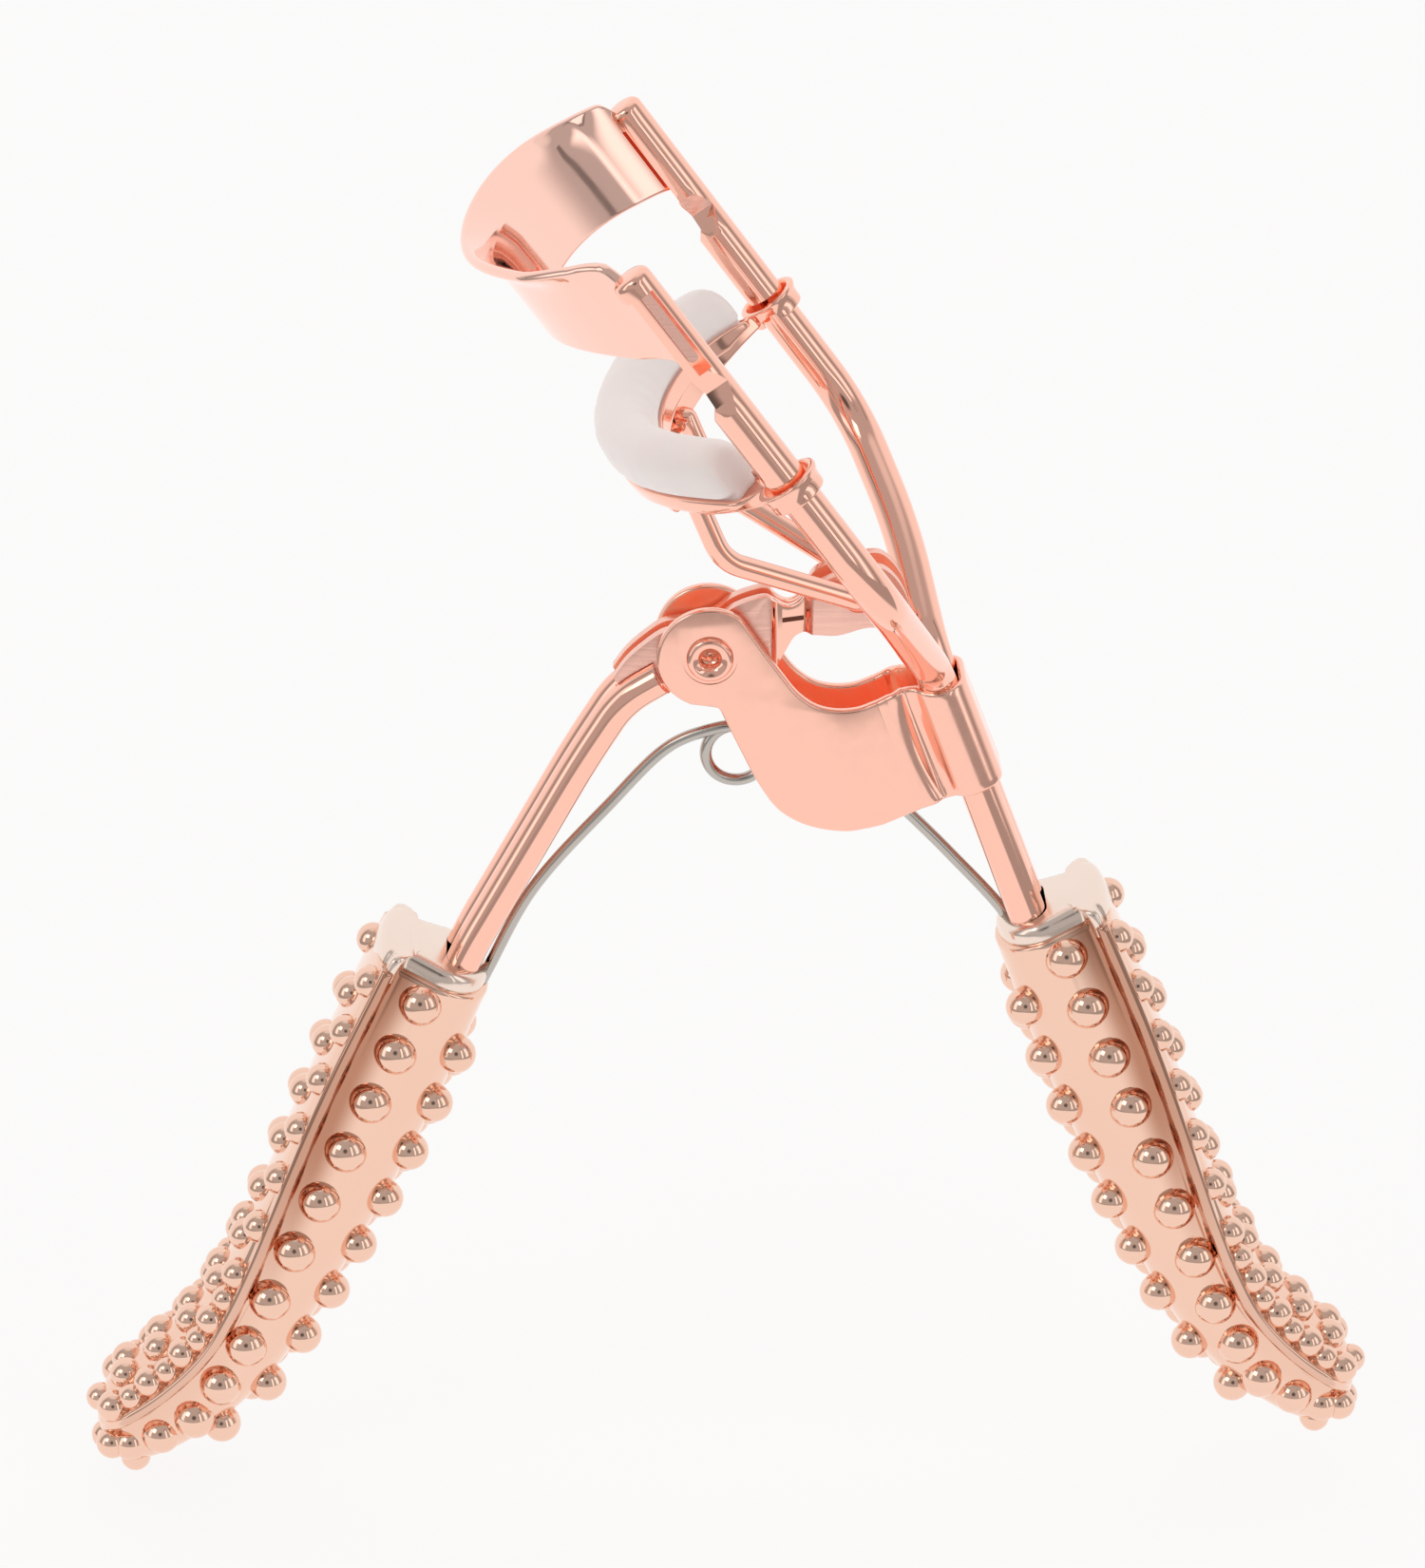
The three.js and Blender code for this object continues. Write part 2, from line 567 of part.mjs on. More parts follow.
// stud rows: [away, Y, facing away, facing Y, shift along the grip]
const BODY_STUDS = [
  [0, 4.55, 0, 1, 0], [0, -4.55, 0, -1, 0],
  [-4.5, 2.9, -1, 0.75, 2.3], [-4.5, -2.9, -1, -0.75, 2.3],
  [-5.45, 0, -1, 0, 0],
];
const COVER_STUDS = [
  [4.1, 3.8, 1, 0.9, 0], [4.1, -3.8, 1, -0.9, 0],
  [4.95, 1.95, 1, 0.35, 2.3], [4.95, -1.95, 1, -0.35, 2.3],
  [5.25, 0, 1, 0, 0],
];
const BODY_FIRST_STUD = 1.9;
const COVER_FIRST_STUD = BODY_FIRST_STUD + 1.4;
// distances along the centre line at which the sections are placed
const STATIONS = [0, 4, 10, 16, 22, 28, 33, 36, 39, 41.5, 43.5, 45, 46.2, 47.2, 48, GRIP_LEN];
// plug, from the grip's mouth outwards: [station, section scale]
const PLUG_STATIONS = [[-0.12, 1], [-1, 1], [-1.5, 0.95], [-1.75, 0.84]];
// the gap between body and cover, as distances away from the centre line
const PARTING = { body: 2.78, cover: 2.97 };

// section scale along the grip: a slow taper, then a rounded tip
function swell(station) {
  const taperStart = 34;
  const u = Math.max(0, (station - taperStart) / (GRIP_LEN - taperStart));
  const taper = 1 - 0.2 * u * u;
  const toTip = (GRIP_LEN + 0.6 - station) / 3.4;
  return toTip < 1 ? taper * Math.sqrt(1 - (1 - toTip) ** 2) : taper;
}

// low five-sided dome, turned by its station so that neighbours differ
function stud(grip, station, [away, y, facingAway, facingY]) {
  const scale = swell(station);
  const onSurface = (shift) => gripPoint(grip, station + shift, away * scale, y * scale);
  const base = onSurface(0);
  const facing = gripPoint(grip, station, away * scale + facingAway, y * scale + facingY)
    .sub(base).normalize();
  const along = onSurface(0.05).sub(onSurface(-0.05)).normalize();
  const across = facing.clone().cross(along).normalize();
  return toSolid(formed(disc(1, 5, station), 1, (x, z, t) => {
    const radius = STUD.r * lerp(1, STUD.topRatio, t);
    return base.clone()
      .addScaledVector(along, x * radius)
      .addScaledVector(across, z * radius)
      .addScaledVector(facing, lerp(-STUD.sink, STUD.height, t));
  }));
}

function studs(grip, rows, first) {
  const solids = [];
  for (let i = 0; i < STUD.rows; i++) {
    for (const row of rows) {
      const station = first + i * STUD.pitch + row[4];
      if (station < GRIP_LEN - 1.6) solids.push(stud(grip, station, row));
    }
  }
  return solids;
}

// outline carried through all stations; place gets (station, section scale, away, y)
const loft = (outline, place) => {
  const last = STATIONS.length - 1;
  return toSolid(formed(outline, last, (away, y, t) => {
    const station = STATIONS[Math.round(t * last)];
    return place(station, swell(station), away, y);
  }));
};

// body or cover: the swelling section with its studs, kept on its own side of the parting gap
function gripShell(grip, section, studRows, firstStud, cutFrom, cutTo) {
  const shell = loft(section, (station, scale, away, y) =>
    gripPoint(grip, station, away * scale, y * scale));
  // only the face at the gap follows the swell; the far face stays clear of the grip
  const beyondGap = loft(rect(cutFrom, -9, cutTo, 9), (station, scale, away, y) =>
    gripPoint(grip, station, Math.abs(away) < 5 ? away * scale : away, y));
  // nothing may pass the flat mouth at station 0
  const beyondMouth = toSolid(formed(rect(-12, -9, 12, 9), 1, (away, y, t) =>
    gripPoint(grip, lerp(-6, 0, t), away, y)));
  return union([shell, ...studs(grip, studRows, firstStud)])
    .subtract(beyondGap)
    .subtract(beyondMouth);
}

function gripPlug(grip) {
  const outline = [...COVER_SECTION.slice(1, -1), ...BODY_SECTION.slice(1, -1)]
    .map(([away, y]) => [away * 0.97, y * 0.97]);
  return toSolid(formed(outline, 3, (away, y, t) => {
    const [station, scale] = PLUG_STATIONS[Math.round(t * 3)];
    return gripPoint(grip, station, away * scale, y * scale);
  }));
}

// XZ outline of a straight band of the given half width
function band(start, end, half) {
  const length = Math.hypot(end[0] - start[0], end[1] - start[1]);
  const x = -(end[1] - start[1]) / length * half;
  const z = (end[0] - start[0]) / length * half;
  return [
    [start[0] + x, start[1] + z], [end[0] + x, end[1] + z],
    [end[0] - x, end[1] - z], [start[0] - x, start[1] - z],
  ];
}

// wires: { start, end, diameter, half } of the pair of wires that enters the grip
function addGrip(prefix, grip, { start, end, diameter, half }) {
  const boreD = diameter + 0.3;
  const bores = SIDES.map((side) =>
    toSolid(tubeAlong([start, end].map((xz) => at(xz, side * half)), boreD, 12)));
  const between = plate(band(start, end, boreD / 2 * 0.96), -half, half);
  const springBore = toSolid(formed(disc(0.75, 8), 1, (x, y, t) =>
    gripPoint(grip, lerp(-3, 5.5, t), grip.springOffset + x, y)));
  const openings = union([...bores, between, springBore]);

  const body = gripShell(grip, BODY_SECTION, BODY_STUDS, BODY_FIRST_STUD, PARTING.body, 12);
  const cover = gripShell(grip, COVER_SECTION, COVER_STUDS, COVER_FIRST_STUD, -9, PARTING.cover);
  const add = (part, solid, meshMaterial) =>
    addMesh(`${prefix}_grip_${part}`, toGeometry(solid.subtract(openings)), meshMaterial);
  add('body', body, ROSE_GOLD);
  add('cover', cover, ROSE_GOLD);
  add('plug', gripPlug(grip), PALE);
}

// ---------- assembly ----------
const BORE_OVERRUN = 1;                   // grip bores run this far past the wires' ends

addMesh('frame_wire_near', frameWire(-1), ROSE);
addMesh('frame_wire_far', frameWire(1), ROSE);
addMesh('upper_jaw', upperJaw(), ROSE);
addMesh('lower_jaw', lowerJaw(), ROSE);
addMesh('silicone_pad', alongLowerJaw(PAD, 15.5, 26), SILICONE);
addMesh('link_yoke', linkYoke(), ROSE);
addMesh('hinge_bracket', hingeBracket(), ROSE);
addMesh('hinge_rivet', hingeRivet(), ROSE);
addMesh('lever_bracket', leverBracket(), ROSE_BRUSHED);
addMesh('lever_wire_near', leverWire(-1), ROSE);
addMesh('lever_wire_far', leverWire(1), ROSE);
addMesh('return_spring', returnSpring(), STEEL);
addGrip('frame', FRAME_GRIP, {
  start: stemXZ(18),
  end: stemXZ(STEM_LEN + BORE_OVERRUN),
  diameter: FRAME_WIRE_D,
  half: STEM_HALF,
});
addGrip('lever', LEVER_GRIP, {
  start: gripXZ(LEVER_GRIP, -2.6, LEVER_WIRE_OFFSET),
  end: gripXZ(LEVER_GRIP, LEVER_WIRE_END + BORE_OVERRUN, LEVER_WIRE_OFFSET),
  diameter: LEVER_WIRE_D,
  half: LEVER_HALF,
});

export default group;
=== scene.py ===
# An eyelash curler in rose gold, standing upright with its jaws open.
# Layout: millimetres, X towards the fixed handle, Z up, hinge axis along Y. The "near" side is -Y.
# Two frame wires carry the fixed upper jaw, run down to the hinge bracket and on into the +X grip.
# The lower jaw slides on them, moved through a yoke by the lever, which ends in the -X grip.
import math
from types import SimpleNamespace
import bpy
import bmesh
import numpy as np
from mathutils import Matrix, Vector


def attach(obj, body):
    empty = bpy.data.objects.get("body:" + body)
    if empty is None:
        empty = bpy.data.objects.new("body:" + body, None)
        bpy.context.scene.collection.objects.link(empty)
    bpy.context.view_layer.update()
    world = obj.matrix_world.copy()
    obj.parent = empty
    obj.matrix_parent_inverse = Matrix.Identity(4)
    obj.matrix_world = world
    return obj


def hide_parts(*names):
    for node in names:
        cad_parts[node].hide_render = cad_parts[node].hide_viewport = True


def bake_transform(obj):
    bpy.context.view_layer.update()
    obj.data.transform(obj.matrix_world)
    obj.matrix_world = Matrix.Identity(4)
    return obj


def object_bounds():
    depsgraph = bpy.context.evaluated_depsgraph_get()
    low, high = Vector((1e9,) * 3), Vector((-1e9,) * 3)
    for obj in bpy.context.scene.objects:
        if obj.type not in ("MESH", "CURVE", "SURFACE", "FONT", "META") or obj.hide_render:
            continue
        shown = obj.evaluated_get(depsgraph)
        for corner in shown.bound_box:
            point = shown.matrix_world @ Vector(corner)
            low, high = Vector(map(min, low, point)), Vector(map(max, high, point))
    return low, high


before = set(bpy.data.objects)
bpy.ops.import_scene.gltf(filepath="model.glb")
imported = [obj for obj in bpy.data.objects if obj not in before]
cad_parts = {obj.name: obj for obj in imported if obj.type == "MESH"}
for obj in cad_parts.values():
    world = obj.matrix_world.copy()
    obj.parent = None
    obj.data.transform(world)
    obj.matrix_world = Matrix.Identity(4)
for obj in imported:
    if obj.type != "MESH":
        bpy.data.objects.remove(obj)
cad_lo, cad_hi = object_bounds()

# ------------------------------------------------------------------ driving dimensions (mm)
ORIGIN = np.array([-1.17, 0.0, 57.57])      # layout origin in the row frame

# wire radii, and half the spacing of each pair of wires
ROD_R, LEVER_R, YOKE_R, SPRING_R = 1.4, 1.3, 0.8, 0.45
ROD_HALF, STEM_HALF, LEVER_HALF = 18.0, 1.46, 1.35

# points and directions in the XZ plane
PIVOT = np.array([-0.25, 11.1])
ROD_TOP = np.array([-6.2, 46.0])
ROD_BEND = np.array([10.9, 22.3])
SLEEVE_TOP = np.array([16.0, 9.4])
STEM_DIR = np.array([0.3453, -0.9385])      # down the frame wires below the sleeve
EYELET = np.array([4.6, 31.0])              # lower jaw's eyelets on the frame wires
YOKE_PIN = np.array([10.7, 15.4])           # yoke's cross bar in the lever's slot
YOKE_BEND = np.array([0.2, 20.7])

EAR_R, EAR_OUT, SHEET = 3.85, 2.65, 0.8     # hinge ears: radius, outer face, sheet thickness


# ------------------------------------------------------------------ points and curves
def to_metres(points):
    return (np.asarray(points, float).reshape(-1, 3) + ORIGIN) / 1000.0


def to_layout(point):
    return np.array(point) * 1000 - ORIGIN


def in_3d(point, y):
    """XZ point at a given Y."""
    return np.array([point[0], y, point[1]])


def unit(v):
    v = np.asarray(v, float)
    return v / np.linalg.norm(v)


def smooth(t):
    t = np.clip(t, 0, 1)
    return t * t * (3 - 2 * t)


def blend_points(u, t0, t1, p0, p1):
    return (t1 - u) / (t1 - t0) * p0 + (u - t0) / (t1 - t0) * p1


def curve(points, n, closed=False):
    """Centripetal Catmull-Rom through points, n samples per span."""
    p = np.asarray(points, float)
    if closed:
        p = np.vstack([p[-1:], p, p[:2]])
    else:
        p = np.vstack([[2 * p[0] - p[1]], p, [2 * p[-1] - p[-2]]])
    out = []
    for i in range(len(p) - 3):
        q = p[i:i + 4]
        t = [0.0]
        for a, b in zip(q, q[1:]):
            t.append(t[-1] + max(np.linalg.norm(b - a), 1e-6) ** 0.5)
        for k in range(n):
            u = t[1] + (t[2] - t[1]) * k / n
            a = [blend_points(u, t[j], t[j + 1], q[j], q[j + 1]) for j in range(3)]
            b = [blend_points(u, t[j], t[j + 2], a[j], a[j + 1]) for j in range(2)]
            out.append(blend_points(u, t[1], t[2], b[0], b[1]))
    if not closed:
        out.append(p[-2])
    return np.array(out)


def quadratic(start, corner, end, t):
    return start * (1 - t) ** 2 + 2 * t * (1 - t) * corner + end * t * t


def wire(points, reaches, steps):
    """Straight runs joined by quadratic bends that start a reach before each corner."""
    p = [np.asarray(q, float) for q in points]
    out = [p[0]]
    for before, corner, after, reach in zip(p, p[1:], p[2:], reaches):
        start = corner - unit(corner - before) * reach
        end = corner + unit(after - corner) * reach
        out += [quadratic(start, corner, end, k / steps) for k in range(steps + 1)]
    out.append(p[-1])
    return np.array(out)


def spread(path, step):
    """Adds points on long straight runs."""
    out = [path[0]]
    for a, b in zip(path, path[1:]):
        n = max(1, int(math.ceil(np.linalg.norm(b - a) / step)))
        out += [a + (b - a) * k / n for k in range(1, n + 1)]
    return np.array(out)


def round_poly(points, radii, n):
    """Closed polygon with rounded corners."""
    p = [np.asarray(q, float) for q in points]
    out = []
    for i, corner in enumerate(p):
        before, after = p[i - 1], p[(i + 1) % len(p)]
        r = min(radii[i], np.linalg.norm(before - corner) * 0.45,
                np.linalg.norm(after - corner) * 0.45)
        start = corner + unit(before - corner) * r
        end = corner + unit(after - corner) * r
        out += [quadratic(start, corner, end, k / n) for k in range(n + 1)]
    return np.array(out)


def stadium(centres, radius, start, steps):
    """Two half circles round two centres, the first from angle start."""
    out = []
    for (x, y), first in zip(centres, (start, start + math.pi)):
        for k in range(steps + 1):
            a = first + math.pi * k / steps
            out.append((x + radius * math.cos(a), y + radius * math.sin(a)))
    return out


# ------------------------------------------------------------------ solids: (vertices, faces)
def sweep(rings):
    """Skin over equal rings, closed by flat ends."""
    r = np.asarray(rings, float)
    m, n, _ = r.shape
    faces = []
    for i in range(m - 1):
        for j in range(n):
            k = (j + 1) % n
            faces.append((i * n + j, i * n + k, (i + 1) * n + k, (i + 1) * n + j))
    faces.append(tuple(range(n - 1, -1, -1)))
    faces.append(tuple((m - 1) * n + j for j in range(n)))
    return r.reshape(-1, 3), faces


def tube(path, radius, n, ref=(0, 1, 0), ends=0.3):
    """Round wire along a path, its ends rounded by the radius ends."""
    p = np.asarray(path, float)
    t = np.gradient(p, axis=0)
    t[0], t[-1] = p[1] - p[0], p[-1] - p[-2]
    t = np.array([unit(q) for q in t])
    normal = np.asarray(ref, float)
    frames = []
    for point, tangent in zip(p, t):
        normal = unit(normal - tangent * np.dot(normal, tangent))
        frames.append((point, normal, np.cross(tangent, normal)))
    ang = np.arange(n) * 2 * np.pi / n

    def ring(c, u, w, r):
        return c + r * (np.cos(ang)[:, None] * u + np.sin(ang)[:, None] * w)

    e = min(ends, radius * 0.98)
    rings = []
    c, u, w = frames[0]
    for k in range(6):
        f = k / 6 * np.pi / 2
        rings.append(ring(c + t[0] * (e - e * math.cos(f)), u, w, radius - e + e * math.sin(f)))
    first = c + t[0] * e
    rings.append(ring(first, u, w, radius))
    for i, (c, u, w) in enumerate(frames[1:-1], 1):
        # skip path points that lie inside the rounded start
        if np.dot(c - first, t[0]) > 0 or i >= 3:
            rings.append(ring(c, u, w, radius))
    c, u, w = frames[-1]
    rings.append(ring(c - t[-1] * e, u, w, radius))
    for k in range(1, 7):
        f = k / 6 * np.pi / 2
        rings.append(ring(c - t[-1] * (e - e * math.sin(f)), u, w, radius - e + e * math.cos(f)))
    return sweep(rings)


def plate(outline, y0, y1):
    """Flat sheet with an XZ outline between two Y values."""
    o = np.asarray(outline, float)
    n = len(o)
    v = [(x, y0, z) for x, z in o] + [(x, y1, z) for x, z in o]
    faces = [(i, (i + 1) % n, n + (i + 1) % n, n + i) for i in range(n)]
    faces.append(tuple(range(n - 1, -1, -1)))
    faces.append(tuple(range(n, 2 * n)))
    return v, faces


def lathe(profile, origin, axis, n, ref=(1, 0, 0)):
    """Closed profile of (radius, height) turned round axis at origin."""
    ax = unit(axis)
    u = unit(np.asarray(ref, float) - ax * np.dot(ref, ax))
    w = np.cross(ax, u)
    m = len(profile)
    v, faces = [], []
    for i in range(n):
        a = 2 * np.pi * i / n
        d = math.cos(a) * u + math.sin(a) * w
        for r, h in profile:
            v.append(np.asarray(origin, float) + d * r + ax * h)
        nxt = (i + 1) % n
        for j in range(m):
            k = (j + 1) % m
            faces.append((i * m + j, i * m + k, nxt * m + k, nxt * m + j))
    return np.array(v), faces


def pivot_lathe(profile, n, direction=1):
    return lathe(profile, in_3d(PIVOT, 0), (0, direction, 0), n)


def pivot_drill(radius, half, n):
    """Cylinder on the hinge axis."""
    return pivot_lathe([(0.001, -half), (radius, -half), (radius, half), (0.001, half)], n)


def ball(centre, r, n, m, up=(0, 0, 1)):
    """Sphere of n segments and m bands with its pole along up."""
    up = unit(up)
    u = unit(np.cross(up, (0.31, 0.87, 0.38)))
    w = np.cross(up, u)
    c = np.asarray(centre)
    v = [c - up * r]
    for i in range(1, m):
        a = -np.pi / 2 + np.pi * i / m
        for j in range(n):
            b = 2 * np.pi * j / n
            around = math.cos(b) * u + math.sin(b) * w
            v.append(c + r * (math.sin(a) * up + math.cos(a) * around))
    v.append(c + up * r)
    faces = []
    for j in range(n):
        k = (j + 1) % n
        faces.append((0, 1 + k, 1 + j))
        for i in range(m - 2):
            lo, hi = 1 + i * n, 1 + (i + 1) * n
            faces.append((lo + j, lo + k, hi + k, hi + j))
        last = 1 + (m - 2) * n
        faces.append((last + j, last + k, len(v) - 1))
    return np.array(v), faces


def join(parts):
    v, faces, offset = [], [], 0
    for part_v, part_f in parts:
        v.append(np.asarray(part_v, float).reshape(-1, 3))
        faces += [tuple(i + offset for i in face) for face in part_f]
        offset += len(v[-1])
    return np.vstack(v), faces


# ------------------------------------------------------------------ Blender objects
def shade(ob, angle):
    """Smooth shading with edges sharp above angle (degrees)."""
    me = ob.data
    me.polygons.foreach_set("use_smooth", [True] * len(me.polygons))
    me.set_sharp_from_angle(angle=math.radians(angle))
    me.update()


def mesh(name, solid, angle=38.0):
    v, faces = solid
    me = bpy.data.meshes.new(name)
    me.from_pydata([tuple(q) for q in to_metres(v)], [], faces)
    me.validate()
    bm = bmesh.new()
    bm.from_mesh(me)
    bmesh.ops.remove_doubles(bm, verts=bm.verts, dist=2e-7)
    bmesh.ops.recalc_face_normals(bm, faces=bm.faces)
    bm.to_mesh(me)
    bm.free()
    ob = bpy.data.objects.new(name, me)
    bpy.context.scene.collection.objects.link(ob)
    shade(ob, angle)
    return ob


def bake(ob):
    dg = bpy.context.evaluated_depsgraph_get()
    me = bpy.data.meshes.new_from_object(ob.evaluated_get(dg))
    old = ob.data
    ob.modifiers.clear()
    ob.data = me
    bpy.data.meshes.remove(old)


def boolean(ob, tools, angle, operation="DIFFERENCE"):
    for tool in tools:
        m = ob.modifiers.new("cut", "BOOLEAN")
        m.operation = operation
        m.object = tool
        m.solver = "MANIFOLD"
        before = len(ob.data.polygons)
        bpy.context.view_layer.update()
        dg = bpy.context.evaluated_depsgraph_get()
        after = len(ob.evaluated_get(dg).data.polygons)
        # the fast solver gives nothing, or no change, on meshes it can't take
        if after == 0 or after == before:
            m.solver = "EXACT"
        bake(ob)
        bpy.data.objects.remove(tool)
    shade(ob, angle)


def bevel(ob, width, segments, limit, angle):
    """Bevel edges above limit, then shade at angle (degrees)."""
    m = ob.modifiers.new("edge", "BEVEL")
    m.width = width / 1000.0
    m.segments = segments
    m.limit_method = "ANGLE"
    m.angle_limit = math.radians(limit)
    m.miter_outer = "MITER_ARC"
    m.use_clamp_overlap = True
    bake(ob)
    shade(ob, angle)


def merge(ob, other):
    """Adds the other object's mesh to ob and removes the other object."""
    bm = bmesh.new()
    bm.from_mesh(ob.data)
    bm.from_mesh(other.data)
    bm.to_mesh(ob.data)
    bm.free()
    bpy.data.objects.remove(other)


def give(ob, material, body, node):
    ob.data.materials.clear()
    ob.data.materials.append(material)
    if body:
        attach(ob, body)
    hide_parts(node)


def paint(ob, materials, pick):
    """Extra materials; pick(centre in mm, normal) returns a face's slot, 0 for the main one."""
    for material in materials:
        ob.data.materials.append(material)
    for face in ob.data.polygons:
        index = pick(to_layout(face.center), np.array(face.normal))
        if index:
            face.material_index = index


# ------------------------------------------------------------------ shader nodes
def add(tree, kind, inputs=None, **settings):
    """New node; an input given as a socket is linked, any other is set."""
    node = tree.nodes.new("ShaderNode" + kind)
    for key, setting in settings.items():
        setattr(node, key, setting)
    for key, value in (inputs or {}).items():
        if isinstance(value, bpy.types.NodeSocket):
            tree.links.new(value, node.inputs[key])
        else:
            node.inputs[key].default_value = value
    return node


def calc(tree, operation, *values):
    return add(tree, "Math", dict(enumerate(values)), operation=operation).outputs[0]


def remap(tree, value, source=(0.0, 1.0), target=(0.0, 1.0), interpolation="LINEAR"):
    inputs = {"From Min": source[0], "From Max": source[1],
              "To Min": target[0], "To Max": target[1], "Value": value}
    return add(tree, "MapRange", inputs, interpolation_type=interpolation).outputs["Result"]


def new_material(name):
    m = bpy.data.materials.new(name)
    m.use_nodes = True
    m.node_tree.nodes.clear()
    return m, m.node_tree


def mottle(tree, coords, scale, detail, base, tint):
    """Mix of two colours by noise."""
    noise = add(tree, "TexNoise", {"Scale": scale, "Detail": detail, "Vector": coords})
    mix = {0: noise.outputs["Fac"], 6: (*base, 1), 7: (*tint, 1)}
    return add(tree, "Mix", mix, data_type="RGBA").outputs[2]


def finish(tree, shader, noise, source, rough, bump, depth):
    """Noise drives roughness and a fine bump (depth in metres); ends in the output."""
    fac = noise.outputs["Fac"]
    tree.links.new(remap(tree, fac, source, rough), shader.inputs["Roughness"])
    relief = add(tree, "Bump", {"Strength": bump, "Distance": depth, "Height": fac})
    tree.links.new(relief.outputs["Normal"], shader.inputs["Normal"])
    add(tree, "OutputMaterial", {"Surface": shader.outputs["BSDF"]})


def metal(name, base, tint, rough, bump, grain=600.0, brushed=None, patch=90.0, glow=None,
          glow_strength=0.0, painted_reflection_tint=None):
    """Plated metal. patch and grain are noise scales; brushed stretches the grain per axis; glow
    adds a painted glow, and the tint darkens the colour as a painted dark reflection where the mesh
    carries its attribute.
    """
    m, tree = new_material(name)
    shader = add(tree, "BsdfPrincipled", {"Metallic": 1.0})
    if glow:
        # painted glow: emission standing in for light bounced many times inside narrow gaps
        shader.inputs["Emission Color"].default_value = (*glow, 1)
        shader.inputs["Emission Strength"].default_value = glow_strength
    coords = add(tree, "TexCoord").outputs["Object"]
    colour = mottle(tree, coords, patch, 3.0, base, tint)
    if painted_reflection_tint:
        # painted dark reflection: the base colour is darkened where the mesh carries the attribute
        painted_reflection = add(tree, "Attribute", attribute_name="painted_reflection").outputs["Fac"]
        colour = add(tree, "Mix", {0: painted_reflection, 6: colour, 7: (*painted_reflection_tint, 1)},
                     data_type="RGBA", blend_type="MULTIPLY").outputs[2]
    tree.links.new(colour, shader.inputs["Base Color"])
    if brushed:
        coords = add(tree, "Mapping", {"Scale": brushed, "Rotation": (0.0, 0.35, 0.0),
                                       "Vector": coords}).outputs["Vector"]
        grain = 1.0
    fine = add(tree, "TexNoise", {"Detail": 4.0, "Scale": grain, "Vector": coords})
    finish(tree, shader, fine, source=(0.3, 0.7), rough=rough, bump=bump, depth=0.00005)
    return m


def silicone(name):
    m, tree = new_material(name)
    shader = add(tree, "BsdfPrincipled", {
        "Subsurface Weight": 0.6,
        "Subsurface Radius": (1.0, 0.75, 0.65),
        "Subsurface Scale": 0.0012,
        "IOR": 1.41,
        # painted glow: a weak emission lifts the pad's shading, so shadows on it stay faint
        "Emission Color": (0.86, 0.75, 0.72, 1),
        "Emission Strength": 0.17,
    })
    coords = add(tree, "TexCoord").outputs["Object"]
    colour = mottle(tree, coords, scale=160.0, detail=5.0,
                    base=(0.74, 0.68, 0.655), tint=(0.79, 0.73, 0.71))
    tree.links.new(colour, shader.inputs["Base Color"])
    fine = add(tree, "TexNoise", {"Scale": 2600.0, "Detail": 2.0, "Vector": coords})
    finish(tree, shader, fine, source=(0.0, 1.0), rough=(0.38, 0.55), bump=0.15, depth=0.00003)
    return m


ROSE = metal("rose_gold_plate", base=(1.0, 0.575, 0.455), tint=(0.98, 0.55, 0.43),
             rough=(0.045, 0.09), grain=500, bump=0.02)
ROSE_JAW = metal("rose_gold_jaw", base=(1.0, 0.645, 0.545), tint=(0.985, 0.625, 0.525),
                 rough=(0.05, 0.09), grain=500, bump=0.02)
ROSE_SHEET = metal("rose_gold_sheet", base=(1.0, 0.575, 0.46), tint=(0.985, 0.555, 0.435),
                   rough=(0.10, 0.17), grain=900, bump=0.04)
BRUSHED = metal("rose_gold_brushed_plate", base=(0.97, 0.58, 0.48), tint=(0.90, 0.52, 0.43),
                rough=(0.24, 0.36), brushed=(260, 260, 5200), bump=0.22)
# the grips' tint is a painted dark reflection beside the ridge, carried by a mesh attribute
ROSE_GRIP = metal("rose_gold_grip_plate", base=(0.92, 0.615, 0.485), tint=(0.88, 0.575, 0.445),
                  rough=(0.05, 0.10), grain=420, bump=0.03, painted_reflection_tint=(0.56, 0.40, 0.33))
# painted glow in gaps, slots and bores: emission and a deeper orange colour stand in for light
# bounced between facing faces; the finish is also rougher
PAINTED_GLOW_INSIDE = metal("rose_gold_inside_painted_glow", base=(1.0, 0.50, 0.34), tint=(0.96, 0.46, 0.30),
               rough=(0.32, 0.44), grain=1200, bump=0.15,
               glow=(0.80, 0.14, 0.06), glow_strength=0.2)
PALE = metal("pale_cap_plate", base=(0.93, 0.765, 0.67), tint=(0.84, 0.68, 0.59),
             rough=(0.12, 0.22), grain=500, bump=0.05)
STEEL = metal("spring_wire_steel", base=(0.58, 0.54, 0.50), tint=(0.46, 0.42, 0.385),
              rough=(0.12, 0.22), brushed=(900, 900, 900), bump=0.05, patch=240.0)
SILICONE = silicone("silicone_rubber")

